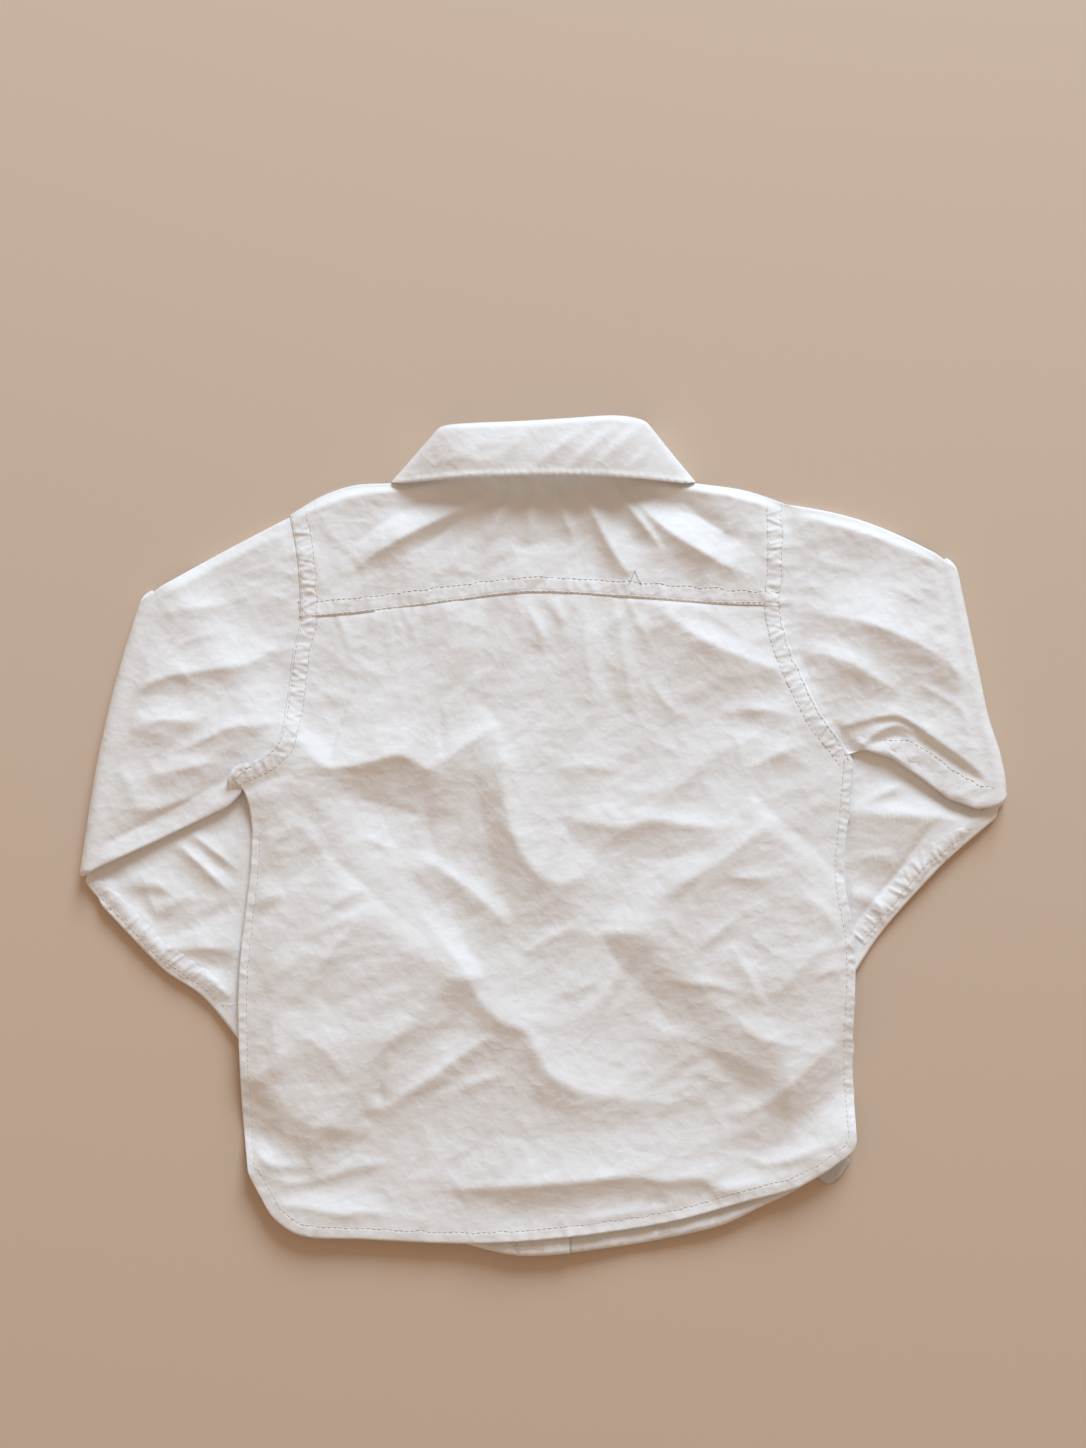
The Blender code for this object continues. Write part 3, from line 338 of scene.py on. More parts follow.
RIGHT_FOREARM_CREASES = (
    Crease(4.8, 7, 6, ((134, 12), (148, 10.5), (162, 9.5), (178, 8), (194, 6.5))),
    Crease(2.6, 2, 5, ((176, 29), (165, 24.5), (152, 18.5), (137, 12))),
    Crease(2.0, 3, 5, ((138, -12), (150, -9), (164, -13))),
    Crease(2.0, 2.5, 4, ((136, -27), (146, -28), (154, -34))),
    Crease(-1.3, 1.4, 2.6, ((176, 6), (168.5, -4), (160, -16), (148, -30), (138, -43))),
    Crease(1.6, 2.5, 4, ((136, 2), (146, -2), (158, -4))),
)
# The middle of each felled seam that shows on a sleeve
LEFT_FOREARM_SEAM = (
    (-202, -21), (-191.5, -31.5), (-182.5, -41), (-172, -51.5), (-161.5, -59), (-150.5, -66.5),
    (-142, -74.5), (-133.5, -86),
)
RIGHT_FOREARM_SEAM = (
    (192.5, 4), (182.3, -3.2), (169.4, -13.6), (159.4, -25.6), (149.4, -37.6), (135.5, -54),
)
RIGHT_OPENING_SEAM = ((153, 42.5), (163.5, 39), (175.3, 31.3), (185.5, 24), (194.5, 19.6), (204, 18.5))
# The end of the left armhole's seam, which curls down on to the sleeve
LEFT_CURL = ((-132.5, 31), (-136.5, 29.8), (-139.2, 26.8), (-140, 22), (-139.4, 16.5))
# The loose ends of thread: on the yoke, and on the strip of front below the hem
LOOSE_THREADS = (
    ("yoke", ((38.6, 113.2), (40, 116.6), (41.4, 119.8))),
    ("yoke", ((41.4, 119.8), (42.8, 116.4), (44.6, 113))),
    ("front", ((-16, -182.6), (-11, -185.3), (-5, -184.4), (1, -184.8))),
    ("front", ((52, -179), (57, -176.6), (62, -178), (70, -176))),
)
# The small tucks along the seams: height, pitch, reach, seed and line
BODY_TUCKS = (
    Tuck(0.5, 5.5, 8, 1, BODY_LEFT_ARMHOLE),
    Tuck(0.5, 5.5, 8, 2, RIGHT_ARMHOLE),
    Tuck(0.6, 6.5, 12, 3, YOKE_SEAM),
    Tuck(0.4, 6.0, 6, 4, LEFT_SIDE),
    Tuck(0.5, 5.0, 6, 5, RIGHT_SIDE),
    Tuck(0.6, 9.0, 9, 6, BACK_HEM),
)
FRONT_HEM_TUCK = Tuck(0.7, 4.5, 7, 7, FRONT_HEM)
# How far the underarm edge of each upper arm bows up, from the armhole to the fold
UNDER_BOW = {
    "left": ((0, 11), (0.07, 11), (0.13, 3.5), (0.2, 1), (0.6, 0), (1, 0)),
    "right": ((0, 3), (0.12, 8), (0.3, 8), (0.5, 2.5), (0.67, -3), (0.85, -4), (1, 0)),
}
UNDER_BOW_REACH = 0.22
# Loose creases that follow no table, in the sizes the photo shows
SCATTER_LENGTH = (10.0, 38.0)
SCATTER_HEIGHT = (0.15, 0.65)
SCATTER_WIDTH = (1.6, 4.5)
# How far the placed creases of the body and of the sleeves are raised, and how much wider
# the steep side of a high crease is
BODY_LIFT = 0.95
SLEEVE_LIFT = 1.1
FACET_SPREAD = 0.26

# How finely each piece is made: cells across and down
BACK_CELLS = (212, 224)
YOKE_CELLS = (200, 60)
FRONT_CELLS = (64, 120)
BAND_CELLS = (14, 150)
LEAF_CELLS = (380, 26)
STAND_CELLS = (200, 8)
CUFF_RINGS = 20
SLEEVE_ACROSS = 112
SLEEVE_ROUND = 5
ARM_RINGS = 64
TURN_RINGS = 10
FOREARM_RINGS = 62
CURVE_SAMPLES = 24

# The profile of a crease, and how loose creases, waves and gathers vary
CREASE_REACH = 2.8
CREASE_SHARPNESS = 1.18
SOFT_SIDE_ROUNDER = 0.06
CREASE_TAPER = 0.7
CREASE_END = 0.02
LEAST_POINTS = 8
SCATTER_BEND = 0.35
SCATTER_DRIFT = 0.8
SCATTER_GROWTH = 0.4
WAVE_SPREAD = (0.6, 1.6)
FACET_GAIN = 1.15
# Each layer of the cloth's unevenness: its size, length, step of seed, angle and stretch
GRAIN = ((0.30, 36, 0, 0.6, 1.7), (0.11, 16, 1, -0.5, 1.6), (0.06, 7.5, 2, 0.2, 1.4))
GATHER_SIZE = (0.2, 1)
GATHER_WIDTH = (0.2, 0.4)
GATHER_REACH = (0.35, 1.4)
GATHER_SLANT = 0.28
GATHER_STEP = (0.5, 1.7)
TUCK_REACH = 2.5
# A thread's waves along a seam: the size and length of each drift, and how their size varies
RIPPLE_DRIFTS = ((1.9, 9), (1.3, 3.7))
RIPPLE_SIZES = (5.3, 13)
RIPPLE_SIZE = 0.6
THINNED_STEP = 3

# The body: its steps at the seams, how its creases fade, its tip, neck and hem
YOKE_TUCK = 4.0
YOKE_STEP = 0.2
YOKE_STEP_START = 0.5
YOKE_STEP_REACH = 2.5
YOKE_PROUD = 0.15
YOKE_PROUD_REACH = 30
YOKE_CREASE_FADE = 3.5
BACK_CREASE_FADE = 8
UNDER_YOKE_GAP = 0.15
NECK_SINK = 2.0
NECK_SINK_START = 12
NECK_SINK_END = 44
NECK_SINK_FALL = 30
NECK_SINK_HALF = 78
NECK_SINK_SIDE = 26
TIP_LINE = np.array([(-117, 47), (-122, 40), (-130, 34), (-141, 28)], float)
TIP_RISE = 2.6
TIP_REACH = 12
TIP_CALM = 8
ARMHOLE_HOLLOW = 0.4
ARMHOLE_ROLL = 0.25
ARMHOLE_ROLL_REACH = 4
HEM_STAND = 3.6
HEM_CORNER = 0.6
HEM_CORNER_X = 40
HEM_CORNER_RUN = 75
HEM_REACH = 24.0
HEM_OVER = 1.7
HEM_OVER_REACH = 20.0
# How many samples of a side's curves are left out where the next curve takes over
JOIN_TRIM, HEM_TRIM = 12, 4
# The fronts' shallow dents, which keep inside the solids' walls
FRONT_DENTS = 90
FRONT_DENT_DEPTH = 1.2
FRONT_DENT_FADE = 12
# The seeds of the cloth's unevenness
BODY_GRAIN, ARM_GRAIN, FOREARM_GRAIN = 3, 13, 33

# The front bands
FIRM_CLOTH = 0.7
BAND_INSET = 0.5
BAND_PUCKER = 0.25
BAND_PUCKER_PITCH = 3.3
BAND_PUCKER_WIDTH = 4
BAND_DIP = 0.7
BAND_DIP_REACH = 8
BAND_STITCH_INSET = 2.5
BAND_STITCH_END = 2

# The sleeves
ARMHOLE_TUCK = 1.2
ARMHOLE_PROUD = 0.12
ARMHOLE_REACH = 8.0
ARMHOLE_POINTS = 160
ARMHOLE_FREE_Y = 26
ARMHOLE_DIP = 0.6
LOW_ARMHOLE_Y = 62
LOW_ARMHOLE_RUN = 12
LOW_STEP = 0.55
LOW_TUCK = 2.6
SLEEVE_PROUD = 0.3
ARM_EDGE_START = 0.9
ARM_EDGE_FADE = 14
ARM_EDGE_THIN = 0.1
UNDER_STAND = 0.24
# Over what an upper arm's creases fade: from the fold, its top and under edges as a share
# of its width, and the body
ARM_FADES = (7, 0.05, 0.03, 4)
ARMHOLE_CALM = 1
ARMHOLE_DIP_START = 1.5
ARMHOLE_DIP_REACH = 3
ARMHOLE_SAMPLES = 200
UPPER_EASE = 0.2
# A tuck along an armhole: its height, pitch, reach and seed
SLEEVE_TUCK = (0.5, 5.0, 9, 8)
EDGE_INSET = 0.8
EDGE_THIN = 0.6
EDGE_STAND = 2.8
EDGE_REACH = 16.0
EDGE_ROLL = 6.5
EDGE_SHOWN = 0.8
EDGE_SHOWN_FALL = 26
FOREARM_SNUG = 0.85
FOREARM_SNUG_REACH = 10
FOREARM_DEEPEST = 1.2
FOREARM_UNDER = 1
FOREARM_UNDER_FADE = 7
FOREARM_CLEAR_X = 134
FOREARM_CLEAR_FADE = 6
CORNER_START = 6.0
CORNER_POWER = 12
CORNER_CLEAR = 32.0
FLARE_START = 0.62
FLARE_RUN = 0.2
FLARE_END = 0.88
FLARE_FALL = 0.5
CUFF_EDGE = 5
CUFF_WIDTH = 80
CUFF_ACROSS = 60
CUFF_PUCKER_PITCH = 3.2

# The collar's leaf, and the label
LEAF_CLOTH = 0.6
LEAF_EDGE_RISE = 9.6
LEAF_ROLL_SHARE = 0.84
LEAF_RISE_HALF = 68
LEAF_RISE_SIDE = 36
LEAF_ROLL_DIP = 1.5
LEAF_ROLL_REACH = 2.4
LEAF_RIM_PLACE = 1.2
LEAF_RIM_WIDTH = 1.3
LEAF_STITCH_PLACE = 4
LEAF_STITCH_WIDTH = 1.4
LEAF_RIM = 0.5
LEAF_RIM_WAVE = 0.55
LEAF_RIM_WAVER = 0.35
LEAF_RIM_PITCH = 3.3
LEAF_STITCH_WAVE = 0.25
LEAF_STITCH_PITCH = 2.7
# Where the leaf counts as the part over the back: from this height of its roll
LEAF_BACK_Z = 2
LEAF_BACK_RISE = 6
LEAF_FLOOR = 0.42
LEAF_DENTS = 26
LEAF_DENT_LIFT = 0.5
LEAF_DENT_FADE = 4
LABEL_CELLS = (24, 12)
LABEL_CLOTH = 0.3
LABEL_Z = 0.4
LABEL_RISE = 1.4
LABEL_RIDGE = 0.9
LABEL_RIDGE_PLACE = 0.55
LABEL_RIDGE_WIDTH = 0.12
LABEL_WAVE = 0.12
LABEL_WAVE_LENGTH = 6
LABEL_FLOOR = 0.05

# The felled seams and their thread
# A band narrows by this share over the last of so many parts of its length
SEAM_TAPER = 0.3
SEAM_TAPER_PARTS = 6
SEAM_THICK = 0.3
SEAM_END = 6.0
SEAM_STEP = 0.5
SEAM_ACROSS = 14
SEAM_WANDER = 0.3
SEAM_WANDER_LENGTH = 11
SEAM_SIDE = 0.3
SEAM_RISE = 0.17
SEAM_SUNK = 0.12
SEAM_ROW_DEPTH = 0.2
SEAM_ROW_WIDTH = 0.5
PUCKER_REACH = 1.3
PUCKER_PLACE = 0.45
PUCKER_MEAN = 0.1
SECOND_SEED = 50
CURL_TOP_Y = 28.0
CURL_RISE = 0.3
CURL_FALL = 2.4
STITCH_PITCH = 2.5
STITCH_LENGTH = 2.1
STITCH_RADIUS = 0.17
STITCH_SIDES = 6
# Along a stitch: each ring's place, its width, and how far it lies above the stitch's line
STITCH_PLACES = np.array([0, 0.18, 0.5, 0.82, 1])
STITCH_SWELL = np.array([0.35, 0.9, 1, 0.9, 0.35]) * STITCH_RADIUS
STITCH_ARCH = np.array([-0.12, 0.06, 0.12, 0.06, -0.12])
STITCH_SHAKE, STITCH_GAP = 0.07, 0.04
BELOW_SHAKE, BELOW_GAP = 0.09, 0.02
THREAD_POINTS = 14
THREAD_ARCH = 0.3
# A button's height, the width of its rim, the depth of its dish, and its four holes
BUTTON_HEIGHT, BUTTON_RIM, BUTTON_DISH = 1.3, 1.1, 0.4
BUTTON_SIDES = 48
BUTTON_HOLE = 0.6

REFRACTION = 1.45
# Each layer of a cloth's bumps: its scale, its shares of the two depths, its detail, and
# whether it folds into crisp lines
BUMPS = ((2600, 1, 0, 2, False), (260, 0, 0.15, 3, False), (120, 0, 0.5, 2, True), (48, 0, 1, 2, True))

# The stage, in metres and watts
FLOOR_SIZE, FLOOR_DROP = 4, 0.0002
FLOOR_COLOUR = (0.665, 0.515, 0.395)
FILL_COLOUR, FILL_STRENGTH = (1.0, 0.75, 0.56), 0.46
KEY_SIZE, KEY_WATTS, KEY_COLOUR = 1.6, 108, (0.65, 0.83, 1.0)
KEY_PLACE, KEY_TARGET = (0.65, 2.7, 1.5), (-1.2, 0.05, 0)


def smooth(value):
    """0 below 0, 1 above 1, and an eased step between."""
    value = np.clip(value, 0, 1)
    return value * value * (3 - 2 * value)


def spline(points):
    """A smooth curve through the points, as many close samples with the same columns."""
    points = np.array(points, float)
    step = np.sqrt(np.linalg.norm(np.diff(points, axis=0), axis=1))
    at = np.concatenate([[0], np.cumsum(step)])
    slope = np.empty_like(points)
    slope[1:-1] = (points[2:] - points[:-2]) / (at[2:] - at[:-2])[:, None]
    slope[0] = (points[1] - points[0]) / step[0]
    slope[-1] = (points[-1] - points[-2]) / step[-1]
    samples = []
    for i, span in enumerate(step):
        t = np.linspace(0, 1, CURVE_SAMPLES, endpoint=False)[:, None]
        samples.append(
            (2 * t**3 - 3 * t**2 + 1) * points[i]
            + (t**3 - 2 * t**2 + t) * span * slope[i]
            + (3 * t**2 - 2 * t**3) * points[i + 1]
            + (t**3 - t**2) * span * slope[i + 1]
        )
    samples.append(points[-1:])
    return np.concatenate(samples)


def spaced(line, count):
    """The line resampled to count points that are evenly spaced along it."""
    at = np.concatenate([[0], np.cumsum(np.linalg.norm(np.diff(line, axis=0), axis=1))])
    wanted = np.linspace(0, at[-1], count)
    return np.stack([np.interp(wanted, at, column) for column in line.T], axis=1)


def line_length(line):
    """How long a line of points is."""
    return float(np.linalg.norm(np.diff(line, axis=0), axis=1).sum())


def placed_line(path):
    """A given path as points about 1 mm apart, and its length."""
    line = spline(path)
    length = line_length(line)
    return spaced(line, max(LEAST_POINTS, int(length))), length


def patch(top, bottom, left, right, cells):
    """A Coons patch: rows run from top to bottom, columns from left to right."""
    columns, rows = cells[0] + 1, cells[1] + 1
    top, bottom = spaced(top, columns)[None], spaced(bottom, columns)[None]
    left, right = spaced(left, rows)[:, None], spaced(right, rows)[:, None]
    u = np.linspace(0, 1, columns)[None, :, None]
    v = np.linspace(0, 1, rows)[:, None, None]
    corners = (
        (1 - v) * ((1 - u) * top[:, :1] + u * top[:, -1:])
        + v * ((1 - u) * bottom[:, :1] + u * bottom[:, -1:])
    )
    return (1 - v) * top + v * bottom + (1 - u) * left + u * right - corners


def depth_in(x, y, corners):
    """How far inside a convex outline a place is, and below zero outside it."""
    corners = np.array(corners, float)
    centre = corners.mean(axis=0)
    depth = np.full(np.shape(x), np.inf)
    for start, end in zip(corners, np.roll(corners, -1, axis=0)):
        along = (end - start) / np.linalg.norm(end - start)
        inward = np.array([-along[1], along[0]])
        inward *= np.sign(inward @ (centre - start))
        depth = np.minimum(depth, (x - start[0]) * inward[0] + (y - start[1]) * inward[1])
    return depth


def near_line(x, y, line, reach):
    """Which places lie near a line, their distance to it, how far to its left they lie, and
    how far along it."""
    low, high = line.min(axis=0) - reach, line.max(axis=0) + reach
    near = (x > low[0]) & (x < high[0]) & (y > low[1]) & (y < high[1])
    px, py = x[near], y[near]
    gap = (px[:, None] - line[None, :, 0]) ** 2 + (py[:, None] - line[None, :, 1]) ** 2
    closest = gap.argmin(axis=1)
    along = np.gradient(line, axis=0)
    step = np.linalg.norm(along, axis=1)
    along = along / step[:, None]
    dx, dy = px - line[closest, 0], py - line[closest, 1]
    left = along[closest, 0] * dy - along[closest, 1] * dx
    ahead = along[closest, 0] * dx + along[closest, 1] * dy
    half = step[closest] / 2
    past = np.maximum(np.abs(ahead) - half, 0)
    at = closest * step.mean() + np.clip(ahead, -half, half)
    return near, np.hypot(left, past), left, at


def relief(x, y, creases):
    """The height of the creases at each place. Those below zero are troughs."""
    ridge = np.zeros(np.shape(x))
    trough = np.zeros(np.shape(x))
    for crease in creases:
        line, length = placed_line(crease.path)
        reach = CREASE_REACH * max(crease.steep * (1 + FACET_SPREAD * abs(crease.height)), crease.soft)
        near, distance, left, at = near_line(x, y, line, reach)
        if not near.any():
            continue
        turn = 0.5 + 0.5 * left / np.maximum(distance, 0.001)
        steep = crease.steep * (1 + FACET_SPREAD * abs(crease.height))
        width = steep + (crease.soft - steep) * turn
        power = CREASE_SHARPNESS - SOFT_SIDE_ROUNDER * turn
        ends = np.sin(np.pi * np.clip(at / length, CREASE_END, 1 - CREASE_END)) ** CREASE_TAPER
        part = abs(crease.height) * ends * np.exp(-((distance / width) ** power))
        if crease.height > 0:
            ridge[near] += part**3
        else:
            trough[near] += part
    return np.cbrt(ridge) - trough


def scattered(count, low, high, seed):
    """Short creases of uneven length, depth and direction over a rectangle."""
    random = np.random.default_rng(seed)
    creases = []
    for _ in range(count):
        middle = random.uniform(low, high)
        length = random.uniform(*SCATTER_LENGTH)
        angle = random.uniform(0, 2 * math.pi)
        bend = random.normal(0, SCATTER_BEND)
        ends = [middle + length / 2 * sign * np.array([math.cos(a), math.sin(a)])
                for sign, a in ((-1, angle - bend), (1, angle + bend))]
        steep, soft = random.uniform(*SCATTER_WIDTH, 2)
        height = random.uniform(*SCATTER_HEIGHT) * (length / SCATTER_LENGTH[1]) ** SCATTER_GROWTH
        path = (tuple(ends[0]), tuple(middle + random.normal(0, SCATTER_DRIFT, 2)), tuple(ends[1]))
        creases.append(Crease(height, steep, soft, path))
    return creases


def waves(x, y, length, seed, count=26):
    """A smooth uneven surface of unit size, whose waves are about as long as given."""
    random = np.random.default_rng(seed)
    total = np.zeros(np.shape(x))
    for _ in range(count):
        angle, phase = random.uniform(0, 2 * math.pi, 2)
        pace = 2 * math.pi / (length * random.uniform(*WAVE_SPREAD))
        total += np.cos(pace * (x * math.cos(angle) + y * math.sin(angle)) + phase)
    return total * math.sqrt(2 / count)


def crumple(x, y, length, seed, angle, stretch):
    """Shallow facets that meet in crisp lines, drawn out along a direction."""
    along = (x * math.cos(angle) + y * math.sin(angle)) / stretch
    across = y * math.cos(angle) - x * math.sin(angle)
    value = waves(along, across, length, seed) * FACET_GAIN
    return np.abs((value + 1) % 4 - 2) - 1


def cloth_grain(x, y, seed):
    """The small unevenness of washed cloth, in three sizes."""
    return sum(size * crumple(x, y, length, seed + step, angle, stretch)
               for size, length, step, angle, stretch in GRAIN)


def gathers(at, away, length, pitch, reach, seed):
    """Uneven tucks across a seam: at is the place along it and away the distance from it."""
    random = np.random.default_rng(seed)
    total = np.zeros(np.broadcast(at, away).shape)
    place = 0.0
    while place < length:
        size, width = random.uniform(*GATHER_SIZE), pitch * random.uniform(*GATHER_WIDTH)
        far, slant = reach * random.uniform(*GATHER_REACH), random.normal(0, GATHER_SLANT)
        total += size * np.exp(-(((at - place - slant * away) / width) ** 2) - (away / far) ** 2)
        place += pitch * random.uniform(*GATHER_STEP)
    return total


def seam_tucks(x, y, tucks):
    """The small tucks that run out from seams over the cloth on either side."""
    total = np.zeros(np.shape(x))
    for tuck in tucks:
        line, length = placed_line(tuck.path)
        near, distance, _, at = near_line(x, y, line, TUCK_REACH * tuck.reach)
        total[near] += tuck.height * gathers(at, distance, length, tuck.pitch, tuck.reach, tuck.seed)
    return total


def ripple(at, pitch, seed):
    """Uneven small waves along a seam, between 0 and 1, where the thread draws it in."""
    random = np.random.default_rng(seed)
    phase = random.uniform(0, 2 * math.pi, 5)
    drift = sum(far * np.sin(at / length + p) for (far, length), p in zip(RIPPLE_DRIFTS, phase))
    short, long = (np.sin(at / length + p) for length, p in zip(RIPPLE_SIZES, phase[2:]))
    size = RIPPLE_SIZE + (1 - RIPPLE_SIZE) * short * long
    return size * (0.5 + 0.5 * np.sin(2 * math.pi * at / pitch + drift + phase[4]))


def left_of(line):
    """The unit direction to the left of a line, at each of its points."""
    along = np.gradient(line, axis=0)
    normal = np.stack([-along[:, 1], along[:, 0]], axis=1)
    return normal / np.linalg.norm(normal, axis=1)[:, None]


def inset_line(points, distance):
    """A curve moved sideways: to its left, or to its right where the distance is below 0."""
    line = spline(points)
    return line + left_of(line) * distance


def distance_to(x, y, line):
    """The distance from each place to a line, which is first thinned."""
    line = spaced(line, max(4, int(line_length(line) / THINNED_STEP)))
    flat = np.stack([np.ravel(x), np.ravel(y)], axis=1)
    gaps = np.full(len(flat), np.inf)
    for start, end in zip(line[:-1], line[1:]):
        along = end - start
        t = np.clip(((flat - start) @ along) / (along @ along), 0, 1)
        gaps = np.minimum(gaps, np.linalg.norm(flat - start - t[:, None] * along, axis=1))
    return gaps.reshape(np.shape(x))


def fold_ends(sleeve):
    """The fold's end at the shoulder and its end at the underarm."""
    return np.array(sleeve.shoulder_end), np.array(sleeve.under_end)


def away_from_body(sleeve):
    """The direction across the fold, away from the body."""
    start, end = fold_ends(sleeve)
    along = (end - start) / np.linalg.norm(end - start)
    outward = np.array([-along[1], along[0]])
    return outward * np.sign(outward[0] * start[0])


def back_from_cuff(sleeve, distance):
    """The two ends of a line across the forearm, this far back from the cuff's far edge."""
    top, under = np.array(sleeve.cuff_top), np.array(sleeve.cuff_under)
    across = (under - top) / np.linalg.norm(under - top)
    back = np.array([-across[1], across[0]])
    back *= np.sign(back @ (np.array(sleeve.under_end) - under))
    return top + back * distance, under + back * distance


def plateau(depth):
    """1 on and just outside an outline, easing to 0 over the drape's ramp."""
    return smooth(1 + (depth + DRAPE_MARGIN) / DRAPE_RAMP)


def sleeve_lift(x, y):
    """How high the forearms and cuffs lift the cloth that lies on them."""
    lift = np.zeros(np.shape(x))
    for sleeve in SLEEVES:
        rise_top, rise_under = back_from_cuff(sleeve, CUFF_DEPTH + CUFF_RISE)
        forearm = (sleeve.shoulder_end, sleeve.under_end, sleeve.cuff_under, sleeve.cuff_top)
        cuff = (rise_top, rise_under, sleeve.cuff_under, sleeve.cuff_top)
        lift = np.maximum(lift, FOREARM_LIFT * plateau(depth_in(x, y, forearm)))
        lift = np.maximum(lift, CUFF_LIFT * plateau(depth_in(x, y, cuff)))
    return lift


def hem_stand(x, y):
    """How far the shirt stands off the surface along its hem."""
    corner = 1 + HEM_CORNER * smooth((x - HEM_CORNER_X) / HEM_CORNER_RUN)
    return HEM_STAND * corner * smooth(1 - distance_to(x, y, spline(FRONT_HEM)) / HEM_REACH)


def front_bottom(x, y, band_z):
    """The underside of a front: on the surface, or over the sleeves, collar and band."""
    collar = COLLAR_LIFT * np.maximum(*(plateau(depth_in(x, y, side)) for side in COLLAR_UNDERLAY))
    band = band_z * smooth(1 - (np.abs(x) - BAND_HALF) / BAND_RAMP)
    band *= smooth(1 + (FRONT_TOP_Y - y) / BAND_RAMP)
    return np.maximum(np.maximum(sleeve_lift(x, y), collar), band) + hem_stand(x, y)


def body_base(x, y, edge):
    """The back's and yoke's form before their creases: over the fronts, and close to them
    at the edges."""
    away = smooth(edge / BACK_FADE)
    loose = EDGE_GAP + (LAYER_GAP - EDGE_GAP + BACK_CROWN) * away
    height = front_bottom(x, y, BUTTON_BAND_Z) + WALL + loose
    at_neck = smooth(1 - distance_to(x, y, spline(BACK_NECK)) / NECK_REACH)
    return height + (NECK_Z - height) * at_neck


def material(name, colour, roughness, sheen=0.0, weave=0.0, crinkle=0.0):
    """A matt surface. weave and crinkle are the depths in metres of its fine bumps."""
    made = bpy.data.materials.new(name)
    made.use_nodes = True
    nodes, links = made.node_tree.nodes, made.node_tree.links
    shader = nodes["Principled BSDF"]
    shader.inputs["Base Color"].default_value = (*colour, 1)
    shader.inputs["Roughness"].default_value = roughness
    shader.inputs["IOR"].default_value = REFRACTION
    shader.inputs["Sheen Weight"].default_value = sheen
    shader.inputs["Sheen Roughness"].default_value = 0.5
    if not weave and not crinkle:
        return made
    coordinates = nodes.new("ShaderNodeTexCoord")
    normal = None
    for scale, weave_share, crinkle_share, detail, crisp in BUMPS:
        noise = nodes.new("ShaderNodeTexNoise")
        noise.inputs["Scale"].default_value = scale
        noise.inputs["Detail"].default_value = detail
        bump = nodes.new("ShaderNodeBump")
        bump.inputs["Strength"].default_value = 1.0
        bump.inputs["Distance"].default_value = weave * weave_share + crinkle * crinkle_share
        bump.invert = crisp
        links.new(coordinates.outputs["Object"], noise.inputs["Vector"])
        height = noise.outputs["Fac"]
        for operation in ("SUBTRACT", "ABSOLUTE") if crisp else ():
            folded = nodes.new("ShaderNodeMath")
            folded.operation = operation
            folded.inputs[1].default_value = 0.5
            links.new(height, folded.inputs[0])
            height = folded.outputs["Value"]
        links.new(height, bump.inputs["Height"])
        if normal:
            links.new(normal, bump.inputs["Normal"])
        normal = bump.outputs["Normal"]
    links.new(normal, shader.inputs["Normal"])
    return made


CLOTH_LOOK = material("poplin_cloth", (0.87, 0.865, 0.86), 0.9, sheen=0.10, weave=0.00005, crinkle=0.0013)
# The thread is a warm grey, darker than the white cloth. This is painted shade: it stands for the shadow in
# the needle holes and in the grooves along each row of stitches. The loose ends of thread use the same
# colour.
THREAD_PAINTED_SHADE_LOOK = material("thread_painted_shade", (0.70, 0.67, 0.63), 0.75, sheen=0.2)
BUTTON_LOOK = material("button_resin", (0.80, 0.79, 0.76), 0.28)
LABEL_LOOK = material("label_tape", (0.62, 0.63, 0.64), 0.7, sheen=0.1, weave=0.00008)


def grid_faces(rows, columns, closed):
    """Quads over rows of points. A closed grid's last column meets its first."""
    row = np.arange(rows - 1)[:, None] * columns
    column = np.arange(columns if closed else columns - 1)[None]
    after = (column + 1) % columns
    quads = [row + column, row + columns + column, row + columns + after, row + after]
    return np.stack([np.broadcast_to(q, (rows - 1, column.size)).ravel() for q in quads], axis=1)


def seen(points):
    """The points moved level, so that the photo's camera sees them where the plan has them."""
    points = np.array(points, float).reshape(-1, 3)
    nearer = 1 - points[:, 2:] / CAMERA_HEIGHT
    points[:, :2] = CAMERA_AXIS + (points[:, :2] - CAMERA_AXIS) * nearer
    return points


def mesh_object(name, points, faces, look, turn=False):
    """A mesh of one look, moved level for the camera. turn gives its faces the other side."""
    mesh = bpy.data.meshes.new(name)
    if turn:
        faces = faces[:, ::-1]
    mesh.from_pydata((seen(points) * MM).tolist(), [], faces.tolist())
    mesh.shade_smooth()
    mesh.materials.append(look)
    made = bpy.data.objects.new(name, mesh)
    bpy.context.scene.collection.objects.link(made)
    return made


def sheet_object(name, grid, closed=False, turn=False, look=CLOTH_LOOK, thickness=CLOTH, offset=1):
    """A thin shell over a grid of points, above it by default."""
    rows, columns = grid.shape[:2]
    made = mesh_object(name, grid, grid_faces(rows, columns, closed), look, turn)
    shell = made.modifiers.new("shell", "SOLIDIFY")
    shell.thickness = thickness * MM
    shell.offset = offset
    return made


def add_trim(made):
    """Declares a piece that stands for no solid, such as a seam's band or its stitches."""
    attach(made, "root")
    return made


def declare(made, node):
    """Declares a piece that stands for the solid of a node."""
    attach(made, "root")
    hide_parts(node)
    return made


def sampled(grid, rows, columns):
    """The grid's points at fractional rows and columns."""
    r0 = np.clip(np.floor(rows).astype(int), 0, grid.shape[0] - 2)
    c0 = np.clip(np.floor(columns).astype(int), 0, grid.shape[1] - 2)
    r, c = (rows - r0)[..., None], (columns - c0)[..., None]
    upper = grid[r0, c0] * (1 - c) + grid[r0, c0 + 1] * c
    lower = grid[r0 + 1, c0] * (1 - c) + grid[r0 + 1, c0 + 1] * c
    return upper * (1 - r) + lower * r


